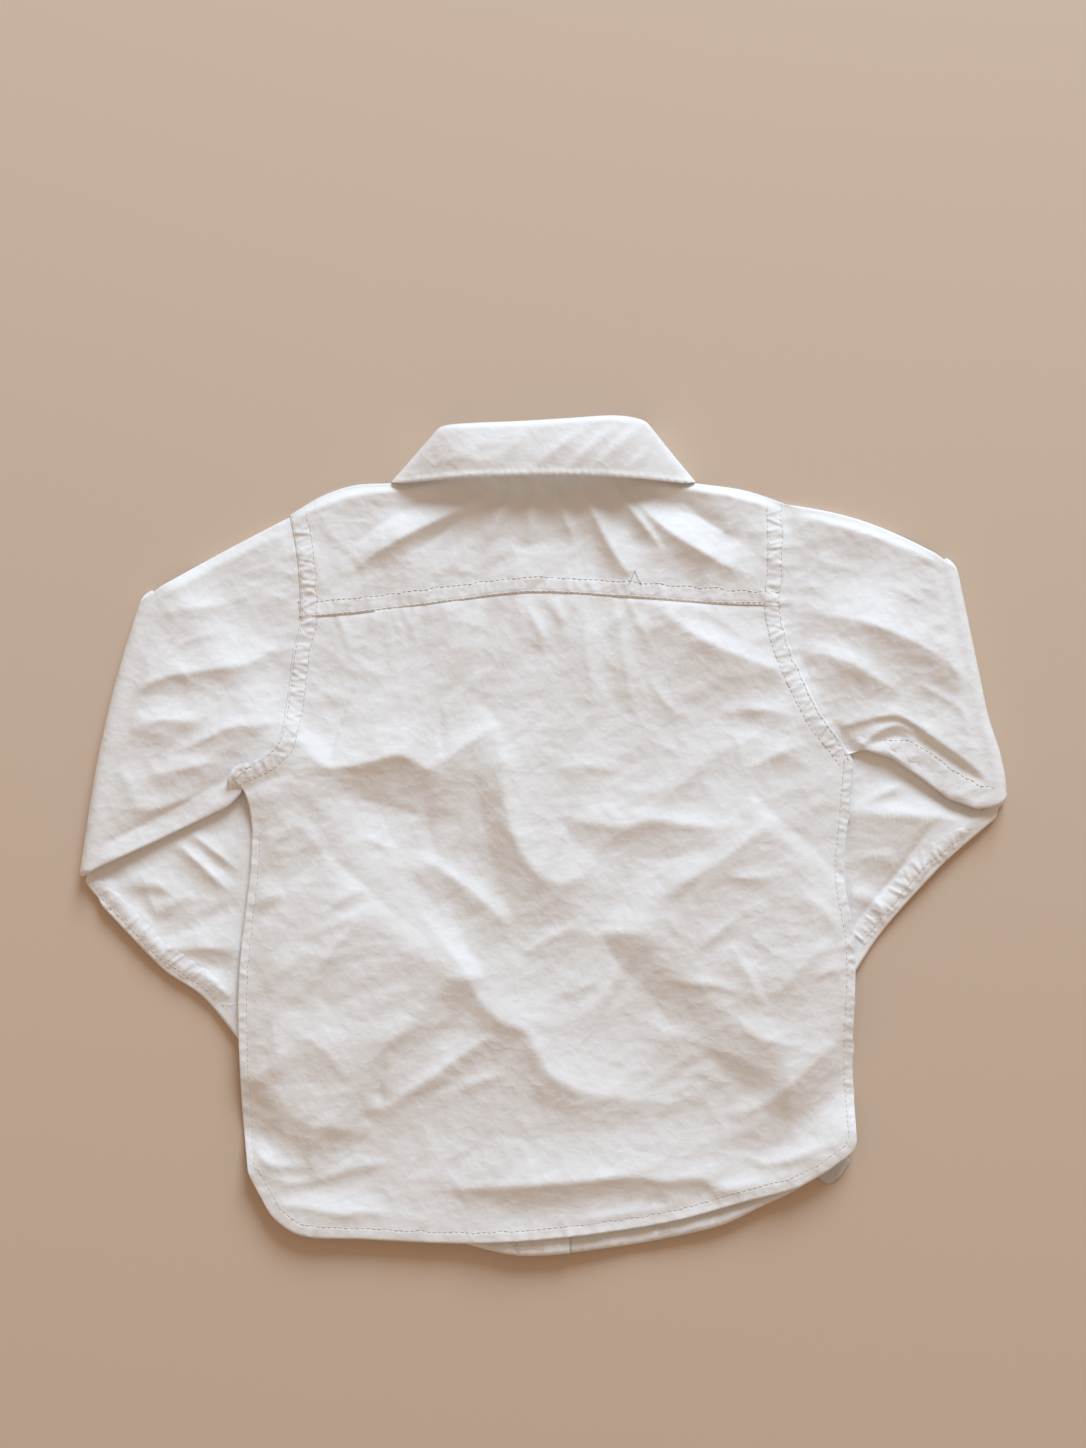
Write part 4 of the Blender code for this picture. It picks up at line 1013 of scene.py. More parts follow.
def stitch_mesh(name, starts, ends, up):
    """Short stitches of thread: each a small spindle whose ends go into the cloth."""
    angle = np.linspace(0, 2 * math.pi, STITCH_SIDES, endpoint=False)
    along = ends - starts
    along /= np.linalg.norm(along, axis=1)[:, None]
    side = np.cross(along, up)
    side /= np.linalg.norm(side, axis=1)[:, None]
    points, faces = [], []
    quads = grid_faces(len(STITCH_PLACES), STITCH_SIDES, True)
    for index in range(len(starts)):
        centre = starts[index] + (ends[index] - starts[index]) * STITCH_PLACES[:, None]
        centre = centre + up[index] * STITCH_ARCH[:, None]
        ring = (
            centre[:, None]
            + side[index] * (np.cos(angle) * STITCH_SWELL[:, None])[..., None]
            + up[index] * (np.sin(angle) * STITCH_SWELL[:, None])[..., None]
        )
        faces.append(quads + index * len(STITCH_PLACES) * STITCH_SIDES)
        points.append(ring.reshape(-1, 3))
    return mesh_object(name, np.concatenate(points), np.concatenate(faces), THREAD_PAINTED_SHADE_LOOK)


def stitches_below(name, path, z, seed):
    """A row of stitches along a plan line, under a front band that lies this high."""
    random = np.random.default_rng(seed)
    dense = spaced(path, int(line_length(path) / STITCH_PITCH) * 2 + 1)
    starts, ends = dense[0:-1:2], dense[1::2]
    middle = (starts + ends) / 2
    share = STITCH_LENGTH / np.linalg.norm(ends - starts, axis=1)[:, None] / 2
    first = middle - (ends - starts) * share + random.normal(0, BELOW_SHAKE, starts.shape)
    last = middle + (ends - starts) * share + random.normal(0, BELOW_SHAKE, starts.shape)
    z -= CLOTH + BELOW_GAP
    first, last = (np.column_stack([end, hem_stand(*end.T) + z]) for end in (first, last))
    up = np.tile([0.0, 0.0, -1.0], (len(first), 1))
    return stitch_mesh(name, first, last, up)


BODY_EDGE = np.concatenate([spline(LEFT_SIDE), spline(BACK_HEM), spline(RIGHT_SIDE)[::-1]])
YOKE_EDGE = np.concatenate([spline(LEFT_SHOULDER), spline(BACK_NECK), spline(RIGHT_SHOULDER)])
BACK_SCATTER = scattered(230, (-135, -180), (138, 104), seed=17)
YOKE_SCATTER = scattered(30, (-108, 112), (106, 160), seed=23)
LEFT_SCATTER = scattered(70, (-205, -75), (-112, 140), seed=29)
RIGHT_SCATTER = scattered(70, (110, -60), (205, 145), seed=37)


def yoke_line_y(x):
    """Where the yoke's seam lies."""
    return np.interp(x, *spline(YOKE_SEAM).T)


def body_cloth(x, y, creases, scatter, edge_line, fade):
    """The back's or yoke's underside, with its creases and seams. The creases fade over
    this distance from the edge."""
    edge = distance_to(x, y, edge_line)
    armholes = (BODY_LEFT_ARMHOLE, RIGHT_ARMHOLE)
    arm = np.minimum(*(distance_to(x, y, spline(armhole)) for armhole in armholes))
    from_tip = distance_to(x, y, TIP_LINE)
    ridge = relief(x, y, creases) * BODY_LIFT + relief(x, y, scatter)
    ridge += cloth_grain(x, y, BODY_GRAIN)
    ridge = np.maximum(ridge * smooth(from_tip / TIP_CALM), -ARMHOLE_HOLLOW - arm / ARMHOLE_ROLL_REACH)
    ridge *= smooth(edge / fade)
    tip = TIP_RISE * smooth(1 - from_tip / TIP_REACH)
    over = HEM_OVER * smooth(1 - distance_to(x, y, spline(BACK_HEM)) / HEM_OVER_REACH)
    rolled = ARMHOLE_ROLL * smooth(1 - arm / ARMHOLE_ROLL_REACH)
    return body_base(x, y, edge) + ridge + tip + over - rolled + seam_tucks(x, y, BODY_TUCKS)


def yoke_height(x, y):
    """The yoke's underside, with the hollow under the collar's turned edge."""
    seam = y - yoke_line_y(x)
    cloth = body_cloth(x, y, YOKE_CREASES, YOKE_SCATTER, YOKE_EDGE, YOKE_CREASE_FADE)
    neck = distance_to(x, y, spline(BACK_NECK))
    hollow = NECK_SINK * smooth(neck / NECK_SINK_START) * smooth((NECK_SINK_END - neck) / NECK_SINK_FALL)
    hollow *= smooth((NECK_SINK_HALF - np.abs(x)) / NECK_SINK_SIDE)
    cloth = cloth + YOKE_PROUD * smooth(1 - seam / YOKE_PROUD_REACH) - hollow
    return np.maximum(cloth, front_bottom(x, y, BUTTON_BAND_Z) + WALL)


def back_height(x, y):
    """The back's underside, which steps down to its seam with the yoke."""
    seam = yoke_line_y(x) - y
    cloth = body_cloth(x, y, BACK_CREASES, BACK_SCATTER, BODY_EDGE, BACK_CREASE_FADE)
    return cloth - YOKE_STEP * smooth(1 - (seam - YOKE_STEP_START) / YOKE_STEP_REACH)


def add_back():
    """The back, up to its tuck under the yoke."""
    left, right = spline(BODY_LEFT_ARMHOLE), spline(RIGHT_ARMHOLE)
    left = left[left[:, 1] <= LEFT_ARMHOLE[2][1] + YOKE_TUCK]
    left = np.concatenate([left, spline(BODY_LEFT_TIP), spline(LEFT_SIDE)])
    right = right[right[:, 1] <= RIGHT_ARMHOLE[2][1] + YOKE_TUCK]
    right = np.concatenate([right, spline(RIGHT_SIDE)])
    top = spline(YOKE_SEAM) + [0, YOKE_TUCK]
    top[0], top[-1] = left[0], right[0]
    plan = patch(top, spline(BACK_HEM), left, right, BACK_CELLS)
    x, y = plan[..., 0], plan[..., 1]
    height = back_height(x, y)
    below = np.minimum(height, yoke_height(x, y) - CLOTH - UNDER_YOKE_GAP)
    grid = np.dstack([plan, np.where(y > yoke_line_y(x), below, height)])
    cloth = declare(sheet_object("back_cloth", grid), "back")


def add_yoke():
    """The yoke, from its seam to the shoulders and the neck."""
    left, right = spline(LEFT_ARMHOLE), spline(RIGHT_ARMHOLE)
    left = left[left[:, 1] >= LEFT_ARMHOLE[2][1]]
    right = right[right[:, 1] >= RIGHT_ARMHOLE[2][1]]
    plan = patch(YOKE_EDGE, spline(YOKE_SEAM), left, right, YOKE_CELLS)
    x, y = plan[..., 0], plan[..., 1]
    grid = np.dstack([plan, yoke_height(x, y)])
    cloth = declare(sheet_object("yoke_cloth", grid), "yoke")


def clear_of_stand(neck, inner_x):
    """Half of the neckline, moved out from the stand's seam and ended at the band."""
    line = neck - left_of(neck) * NECK_SEAM_GAP
    return line[np.abs(line[:, 0]) >= abs(inner_x)]


def add_front(side):
    """One front, from its shoulder, armhole and side to the edge of its band."""
    sign, band_z = (-1, BUTTON_BAND_Z) if side == "left" else (1, BUTTONHOLE_BAND_Z)
    hem = spline(FRONT_HEM)
    inner_x = sign * (BAND_HALF - BAND_INSET)
    hem = hem[hem[:, 0] * sign >= BAND_HALF - BAND_INSET]
    hem_y = hem[-1, 1] if sign < 0 else hem[0, 1]
    centre = np.array([(inner_x, FRONT_TOP_Y), (inner_x, hem_y)])
    neck = spline(FRONT_NECK)
    middle = len(neck) // 2
    if sign < 0:
        neck = clear_of_stand(neck[:middle], inner_x)
        shoulder = spline(LEFT_SHOULDER)
        top = np.concatenate([shoulder[shoulder[:, 0] < neck[0, 0] - 1], neck])
        left = np.concatenate([spline(LEFT_ARMHOLE)[:-JOIN_TRIM], spline(LEFT_SIDE)[:-HEM_TRIM], hem[:1]])
        plan = patch(top, hem, left, centre, FRONT_CELLS)
    else:
        neck = clear_of_stand(neck[middle:], inner_x)
        shoulder = spline(RIGHT_SHOULDER)
        top = np.concatenate([neck, shoulder[shoulder[:, 0] > neck[-1, 0] + 1]])
        right = np.concatenate([spline(RIGHT_ARMHOLE), spline(RIGHT_SIDE)[:-HEM_TRIM], hem[-1:]])
        plan = patch(top, hem, centre, right, FRONT_CELLS)
    x, y = plan[..., 0], plan[..., 1]
    room = (WALL - CLOTH) * smooth(distance_to(x, y, spline(FRONT_HEM)) / FRONT_DENT_FADE)
    dents = relief(x, y, scattered(FRONT_DENTS, (-138, -180), (138, 150), seed=41 + sign))
    height = front_bottom(x, y, band_z) + room * smooth(dents / FRONT_DENT_DEPTH)
    grid = np.dstack([plan, height + seam_tucks(x, y, (FRONT_HEM_TUCK,))])
    cloth = declare(sheet_object(f"front_{side}_cloth", grid), f"front_{side}")


def add_band(name, node, band_z):
    """One of the two bands that overlap down the front."""
    hem_y = float(np.interp(0, *spline(FRONT_HEM).T))
    y = np.linspace(FRONT_TOP_Y, hem_y, BAND_CELLS[1] + 1)
    x = np.linspace(-BAND_HALF, BAND_HALF, BAND_CELLS[0] + 1)
    plan = np.stack(np.meshgrid(x, y), axis=2)
    hem_rise = np.interp(x, *spline(FRONT_HEM).T) - hem_y
    plan[..., 1] += hem_rise * (FRONT_TOP_Y - y[:, None]) / (FRONT_TOP_Y - hem_y)
    x, y = plan[..., 0], plan[..., 1]
    pucker = BAND_PUCKER * (1 - smooth((BAND_HALF - np.abs(x)) / BAND_PUCKER_WIDTH))
    height = band_z + pucker * ripple(y, BAND_PUCKER_PITCH, seed=9) + hem_stand(x, y)
    height += seam_tucks(x, y, (FRONT_HEM_TUCK,)) - BAND_DIP * smooth(1 - (y - hem_y) / BAND_DIP_REACH)
    grid = np.dstack([plan, height])
    cloth = declare(sheet_object(name, grid, thickness=FIRM_CLOTH), node)
    for number, side in enumerate((-1, 1)):
        place = side * (BAND_HALF - BAND_STITCH_INSET)
        path = np.array([(place, FRONT_TOP_Y - BAND_STITCH_END), (place, hem_y + BAND_STITCH_END)])
        add_trim(stitches_below(f"{name}_stitches_{number + 1}", path, band_z - CLOTH, seed=11 + number))


def oval(half, width, across_count=SLEEVE_ACROSS):
    """One turn of a flattened tube: the place across it from 0 to 1, and the height from
    -1 to 1. It starts on the top edge, runs over the upper layer and back under."""
    inset = half / width
    across = np.linspace(inset, 1 - inset, across_count)
    turn = np.linspace(math.pi / 2, -math.pi / 2, SLEEVE_ROUND + 2)[1:-1]
    far = np.stack([1 - inset + inset * np.cos(turn), np.sin(turn)], axis=1)
    near = np.stack([inset - inset * np.cos(turn), -np.sin(turn)], axis=1)
    upper = np.stack([across, np.ones_like(across)], axis=1)
    lower = np.stack([across[::-1], -np.ones_like(across)], axis=1)
    return np.concatenate([upper, far, lower, near])


def upper_share(rise):
    """1 on a tube's upper layer, and easing to 0 round its edges."""
    return smooth((rise + UPPER_EASE) / (1 + UPPER_EASE))


def ring_line(top, under, bow, outward, places):
    """Places across a ring, from its top edge to its underarm edge, bowed outwards."""
    line = top + np.outer(places, under - top)
    return line + np.outer(np.sin(np.pi * places), outward) * bow


def sleeve_relief(x, y, side):
    """The upper arm's creases."""
    left = side == "left"
    creases = LEFT_SLEEVE_CREASES if left else RIGHT_SLEEVE_CREASES
    scatter = LEFT_SCATTER if left else RIGHT_SCATTER
    ridge = relief(x, y, creases) * SLEEVE_LIFT + relief(x, y, scatter)
    return ridge + cloth_grain(x, y, ARM_GRAIN) + SLEEVE_PROUD


def forearm_relief(x, y, sleeve):
    """The creases of the forearm where it shows past the upper arm and the body."""
    left = sleeve.side == "left"
    creases = LEFT_FOREARM_CREASES if left else RIGHT_FOREARM_CREASES
    scatter = LEFT_SCATTER if left else RIGHT_SCATTER
    ridge = relief(x, y, creases) * SLEEVE_LIFT + relief(x, y, scatter) + cloth_grain(x, y, FOREARM_GRAIN)
    (near_x, near_y), (far_x, far_y) = sleeve.armhole[-1], sleeve.under_end
    line_y = np.interp(np.abs(x), (abs(near_x), abs(far_x)), (near_y, far_y))
    clear = smooth((line_y - y - FOREARM_UNDER) / FOREARM_UNDER_FADE)
    clear *= smooth((np.abs(x) - FOREARM_CLEAR_X) / FOREARM_CLEAR_FADE)
    from_side = distance_to(x, y, spline(LEFT_SIDE if left else RIGHT_SIDE))
    snug = FOREARM_SNUG * smooth(1 - from_side / FOREARM_SNUG_REACH)
    return np.maximum(ridge, -FOREARM_DEEPEST) * clear + snug


def upper_arm_height(line, places, rise, sleeve):
    """The height of an upper arm's layers: rise is 1 on the upper one and -1 on the lower."""
    outward = away_from_body(sleeve)
    inside = (line - np.array(sleeve.shoulder_end)) @ outward
    x, y = line.T
    lift = sleeve_lift(x, y) + FOLD_LIFT * smooth(1 + inside / FOLD_REACH)
    near_edge = smooth((places - ARM_EDGE_START) / (1 - ARM_EDGE_START))
    near_edge *= smooth(-inside / ARM_EDGE_FADE)
    ridge = sleeve_relief(x, y, sleeve.side)
    from_body = distance_to(x, y, spline(sleeve.armhole))
    fold_fade, top_fade, under_fade, body_fade = ARM_FADES
    away = smooth(-inside / fold_fade) * smooth(places / top_fade) * smooth((1 - places) / under_fade)
    away = away * smooth((from_body - ARMHOLE_CALM) / body_fade)
    tucks = seam_tucks(x, y, (Tuck(*SLEEVE_TUCK, sleeve.armhole),))
    tucks *= smooth((from_body - ARMHOLE_CALM) / ARMHOLE_DIP_REACH)
    dip = ARMHOLE_DIP * (1 - smooth((from_body - ARMHOLE_DIP_START) / ARMHOLE_DIP_REACH)) - tucks
    upper = upper_share(rise)
    half = TUBE_HALF * (1 - ARM_EDGE_THIN * near_edge)
    height = lift * (1 + UNDER_STAND * near_edge) + half * (1 + rise) + (ridge * away - dip) * upper
    met = met_at_armhole(x, y, height, sleeve)
    return height + (met - height) * upper


def met_at_armhole(x, y, height, sleeve):
    """An upper arm's height, drawn to the body's edge along the seam that joins them."""
    line = spaced(spline(sleeve.armhole), ARMHOLE_POINTS)
    edge = body_top(*line.T) + ARMHOLE_PROUD - LOW_STEP * low_down(line[:, 1])
    near, distance, _, at = near_line(x, y, line, ARMHOLE_REACH)
    share = smooth(1 - distance / ARMHOLE_REACH) * smooth((y[near] - ARMHOLE_FREE_Y) / ARMHOLE_REACH)
    wanted = np.interp(at, np.linspace(0, line_length(line), ARMHOLE_POINTS), edge)
    met = height.copy()
    met[near] += (wanted - height[near]) * share
    return met


def low_down(y):
    """1 towards an armhole's lower end, where the sleeve goes further beneath the body."""
    return smooth((LOW_ARMHOLE_Y - y) / LOW_ARMHOLE_RUN)


def corner_draw(outward_place):
    """How far the ends of a ring draw in where the fold's corners are rounded."""
    reach = FOLD_RADIUS + TUBE_HALF + CORNER_START
    along = np.clip((outward_place + CORNER_START) / reach, 0, 1)
    return 1 - np.sqrt(1 - along**2)


def rounded(line, places, outward_place, sleeve):
    """A ring whose two ends are drawn in along the fold, by the sleeve's corner radii."""
    top, under = fold_ends(sleeve)
    along = (under - top) / np.linalg.norm(under - top)
    draw = corner_draw(outward_place)
    shift = sleeve.top_round * (1 - places) ** CORNER_POWER - sleeve.under_round * places**CORNER_POWER
    return line + np.outer(draw * shift, along)


def elbow_line(sleeve):
    """The forearm's outer edge, from the fold to the cuff's seam."""
    seam_under = back_from_cuff(sleeve, CUFF_DEPTH)[1]
    return spline((sleeve.under_end, *sleeve.elbow_edge, seam_under))


def forearm_edge(x, y, sleeve):
    """How far the forearm stands up along its outer edge, and half its thickness there."""
    line = spaced(elbow_line(sleeve), ARMHOLE_POINTS)
    near, distance, _, at = near_line(x, y, line, EDGE_REACH)
    stand, half = np.zeros(np.shape(x)), np.full(np.shape(x), TUBE_HALF)
    shown = smooth(at / EDGE_REACH) * smooth((EDGE_SHOWN * line_length(line) - at) / EDGE_SHOWN_FALL)
    stand[near] = EDGE_STAND * smooth(1 - distance / EDGE_REACH) * shown
    half[near] *= 1 - EDGE_THIN * smooth(1 - distance / EDGE_ROLL) * shown
    return stand, half


def sleeve_grid(sleeve):
    """The sleeve as one tube: over the upper arm, round the fold, and back beneath."""
    outward = away_from_body(sleeve)
    top, under = fold_ends(sleeve)
    ring = oval(EDGE_INSET, np.linalg.norm(under - top))
    places, rise = ring[:, 0], ring[:, 1]
    arm_length = np.linalg.norm(top - np.array(sleeve.armhole[0]))
    armhole = spaced(spline(sleeve.armhole), ARMHOLE_SAMPLES)
    at = np.linspace(0, 1, len(armhole))
    first = np.stack([np.interp(places, at, column) for column in armhole.T], axis=1)
    first = first - np.outer(ARMHOLE_TUCK + LOW_TUCK * low_down(first[:, 1]), outward)
    fold = ring_line(top, under, sleeve.fold_bow, outward, places)
    flare = smooth((places - FLARE_START) / FLARE_RUN)
    flare *= 1 - FLARE_FALL * smooth((places - FLARE_END) / (1 - FLARE_END))
    fold += np.outer(flare * sleeve.flare, outward)
    near_under = smooth((places - 1 + UNDER_BOW_REACH) / UNDER_BOW_REACH)
    rings = []
    for t in np.linspace(0, 1, ARM_RINGS):
        line = first + (fold - first) * t
        line[:, 1] += sleeve.shoulder_bow * math.sin(math.pi * t) * (1 - places)
        line[:, 1] += np.interp(t, *zip(*UNDER_BOW[sleeve.side])) * near_under
        line = rounded(line, places, (t - 1) * arm_length, sleeve)
        rings.append(np.column_stack([line, upper_arm_height(line, places, rise, sleeve)]))
    centre = FOLD_RADIUS + TUBE_HALF
    for angle in np.linspace(0, math.pi, TURN_RINGS + 1)[1:]:
        radius = FOLD_RADIUS + TUBE_HALF * rise
        out = math.sin(angle)
        back = CORNER_START * (1 - out) if angle > math.pi / 2 else 0
        plan = rounded(fold + np.outer(radius * out, outward), places, centre * out - back, sleeve)
        rings.append(np.column_stack([plan, centre + radius * math.cos(angle)]))
    seam_top = back_from_cuff(sleeve, CUFF_DEPTH)[0]
    outer_edge = spaced(elbow_line(sleeve), FOREARM_RINGS + 1)
    for index in range(1, FOREARM_RINGS + 1):
        t = index / FOREARM_RINGS
        ring_top, ring_under = top + (seam_top - top) * t, outer_edge[index]
        ring = oval(EDGE_INSET, np.linalg.norm(ring_under - ring_top))
        line = ring_line(ring_top, ring_under, sleeve.fold_bow * (1 - t) ** 2, outward, ring[:, 0])
        floor = CUFF_FLOOR * smooth((t - CUFF_RISE_START) / (1 - CUFF_RISE_START))
        stand, half = forearm_edge(*line.T, sleeve)
        ridge = forearm_relief(*line.T, sleeve)
        height = floor + stand + half * (1 - ring[:, 1]) + ridge * upper_share(-ring[:, 1])
        rings.append(np.column_stack([line, height]))
    grid = np.array(rings)
    from_corner = np.linalg.norm(grid[..., :2] - under, axis=2)
    grid[..., 2] = np.maximum(grid[..., 2], CLOTH * smooth(2 - from_corner / CORNER_CLEAR))
    return grid


def add_sleeve(sleeve):
    """A sleeve down to its cuff."""
    grid = sleeve_grid(sleeve)
    name = f"sleeve_{sleeve.side}_cloth"
    cloth = sheet_object(name, grid, closed=True, turn=sleeve.side == "right", offset=-1)
    declare(cloth, f"sleeve_{sleeve.side}")


def add_cuff(sleeve):
    """The cuff continues the sleeve past its seam."""
    seam_top, seam_under = back_from_cuff(sleeve, CUFF_DEPTH)
    end_top, end_under = np.array(sleeve.cuff_top), np.array(sleeve.cuff_under)
    rings = []
    for t in np.linspace(0, 1, CUFF_RINGS + 1):
        top = seam_top + (end_top - seam_top) * t
        under = seam_under + (end_under - seam_under) * t
        ring = oval(CUFF_HALF, np.linalg.norm(under - top), CUFF_ACROSS)
        line = ring_line(top, under, 0, np.zeros(2), ring[:, 0])
        near_edge = 1 - smooth(min(t, 1 - t) * CUFF_DEPTH / CUFF_EDGE)
        pucker = BAND_PUCKER * near_edge * ripple(ring[:, 0] * CUFF_WIDTH, CUFF_PUCKER_PITCH, seed=19)
        height = CUFF_FLOOR + CUFF_HALF * (1 - ring[:, 1]) + pucker * np.sign(1 - ring[:, 1])
        rings.append(np.column_stack([line, height]))
    grid = np.array(rings)
    name = f"cuff_{sleeve.side}_cloth"
    turn = sleeve.side == "right"
    cloth = sheet_object(name, grid, closed=True, turn=turn, thickness=FIRM_CLOTH, offset=-1)
    declare(cloth, f"cuff_{sleeve.side}")


def between_edges(rows, count, places):
    """A surface between the two edges that each row of a station table gives, and the rows
    spaced evenly along it."""
    along = spaced(spline(rows), count + 1)
    first, second = along[:, :3], along[:, 3:6]
    return along, np.array([first + (second - first) * t for t in places])


def add_leaf():
    """The collar's leaf, turned down over the back, with its stitched edge."""
    places = (1 - np.cos(np.linspace(0, math.pi, LEAF_CELLS[1] + 1))) / 2
    along, grid = between_edges(LEAF_STATIONS, LEAF_CELLS[0], places)
    t = places[:, None]
    at = np.concatenate([[0], np.cumsum(np.linalg.norm(np.diff(along[:, 3:6], axis=0), axis=1))])[None]
    width = np.linalg.norm(along[:, 3:6] - along[:, :3], axis=1)[None]
    back = smooth((along[:, 2] - LEAF_BACK_Z) / LEAF_BACK_RISE)[None]
    from_edge = (1 - t) * width
    z = grid[..., 2] + along[:, 6][None] * np.sin(np.pi * t)
    x, y = grid[..., 0], grid[..., 1]
    rise = LEAF_EDGE_RISE * smooth((LEAF_RISE_HALF - np.abs(x)) / LEAF_RISE_SIDE)
    z += rise * back * (LEAF_ROLL_SHARE + (1 - LEAF_ROLL_SHARE) * t)
    z -= LEAF_ROLL_DIP * back * (1 - smooth(t * width / LEAF_ROLL_REACH))
    rim = np.exp(-((from_edge - LEAF_RIM_PLACE) / LEAF_RIM_WIDTH) ** 2)
    stitched = np.exp(-((from_edge - LEAF_STITCH_PLACE) / LEAF_STITCH_WIDTH) ** 2)
    waved = ripple(at, LEAF_RIM_PITCH, seed=51)
    z += back * rim * (LEAF_RIM + LEAF_RIM_WAVE * waved)
    z += back * LEAF_STITCH_WAVE * ripple(at + from_edge, LEAF_STITCH_PITCH, seed=53) * stitched
    loose = scattered(LEAF_DENTS, (-60, 163), (64, 188), seed=61)
    dents = relief(x, y, COLLAR_CREASES) + LEAF_DENT_LIFT * relief(x, y, loose)
    z += dents * back * smooth(from_edge / LEAF_DENT_FADE) * smooth(t * width / LEAF_DENT_FADE)
    grid[..., 2] = np.maximum(z, LEAF_FLOOR)
    grid[..., 1] -= back * LEAF_RIM_WAVER * waved * rim
    cloth = sheet_object("collar_leaf_cloth", grid, thickness=LEAF_CLOTH, offset=0)
    declare(cloth, "collar_leaf")


def add_stand():
    """The collar's stand, between the neck and the leaf's roll."""
    places = np.linspace(0, 1, STAND_CELLS[1] + 1)
    _, grid = between_edges(STAND_STATIONS, STAND_CELLS[0], places)
    cloth = sheet_object("collar_stand_cloth", grid, thickness=FIRM_CLOTH, offset=0)
    declare(cloth, "collar_stand")


def button_mesh():
    """A turned disc with a raised rim and four holes, facing down."""
    # how far inside the button's edge each ring lies, and its height
    profile = (
        (0.5, BUTTON_HEIGHT), (0.1, BUTTON_HEIGHT - 0.25), (0, BUTTON_HEIGHT / 2), (0.15, 0.2),
        (0.45, 0.0), (BUTTON_RIM, 0.08), (BUTTON_RIM + BUTTON_DISH, BUTTON_DISH),
    )
    sides = BUTTON_SIDES
    angle = np.linspace(0, 2 * math.pi, sides, endpoint=False)
    turn = np.stack([np.cos(angle), np.sin(angle)], axis=1)
    rings = [np.column_stack([turn * (BUTTON_RADIUS - inset), np.full(sides, z)]) for inset, z in profile]
    points = np.concatenate([[(0, 0, BUTTON_HEIGHT)], *rings, [(0, 0, BUTTON_DISH)]])
    faces = [(0, 1 + (i + 1) % sides, 1 + i) for i in range(sides)]
    faces += (grid_faces(len(rings), sides, True)[:, [0, 3, 2, 1]] + 1).tolist()
    last = 1 + (len(rings) - 1) * sides
    faces += [(last + i, last + (i + 1) % sides, len(points) - 1) for i in range(sides)]
    mesh = bpy.data.meshes.new("button")
    mesh.from_pydata((points * MM).tolist(), [], faces)
    mesh.materials.append(BUTTON_LOOK)
    blank = bpy.data.objects.new("button_blank", mesh)
    bpy.context.scene.collection.objects.link(blank)
    drills = []
    for x, y in ((-1, -1), (1, -1), (1, 1), (-1, 1)):
        bpy.ops.mesh.primitive_cylinder_add(
            vertices=16, radius=BUTTON_HOLE * MM, depth=4 * MM, location=(x * MM, y * MM, 0)
        )
        drill = bpy.context.object
        drills.append(drill)
        cut = blank.modifiers.new("hole", "BOOLEAN")
        cut.operation, cut.solver, cut.object = "DIFFERENCE", "EXACT", drill
    bpy.context.view_layer.update()
    finished = bpy.data.meshes.new_from_object(blank.evaluated_get(bpy.context.evaluated_depsgraph_get()))
    finished.name = "button_disc"
    for extra in (blank, *drills):
        bpy.data.objects.remove(extra)
    return finished


def add_buttons():
    """The buttons down the front, on the collar's stand and on the cuffs, as on the solids."""
    disc = button_mesh()
    places = [(f"button_{i + 1}", 0, BUTTON_TOP_Y - i * BUTTON_PITCH) for i in range(BUTTON_COUNT)]
    places.append(("button_collar", 0, COLLAR_BUTTON_Y))
    for sleeve in SLEEVES:
        seam_top, seam_under = back_from_cuff(sleeve, CUFF_DEPTH)
        across = (np.array(sleeve.cuff_under) - seam_under) / 2
        place = seam_under + across + (seam_top - seam_under) * CUFF_BUTTON_PLACE
        places.append((f"cuff_button_{sleeve.side}", *place))
    for node, x, y in places:
        made = bpy.data.objects.new(f"{node}_disc", disc)
        made.location = (x * MM, y * MM, 0)
        bpy.context.scene.collection.objects.link(made)
        declare(made, node)


def add_label():
    """The blank care label that shows below the right end of the hem."""
    hem_edge, free_edge = spline(LABEL_HEM_EDGE), spline(LABEL_FREE_EDGE)
    left, right = (np.array([hem_edge[end], free_edge[end]]) for end in (0, -1))
    plan = patch(hem_edge, free_edge, left, right, LABEL_CELLS)
    across = np.linspace(0, 1, LABEL_CELLS[0] + 1)[None]
    up = np.linspace(1, 0, LABEL_CELLS[1] + 1)[:, None]
    ridge = np.exp(-(((across - LABEL_RIDGE_PLACE) / LABEL_RIDGE_WIDTH) ** 2))
    height = LABEL_Z + LABEL_RISE * up + LABEL_RIDGE * ridge
    height = height + LABEL_WAVE * waves(plan[..., 0], plan[..., 1], LABEL_WAVE_LENGTH, seed=71)
    grid = np.dstack([plan, np.maximum(height, LABEL_FLOOR)])
    made = sheet_object("care_label_tape", grid, look=LABEL_LOOK, thickness=LABEL_CLOTH)
    declare(made, "care_label")


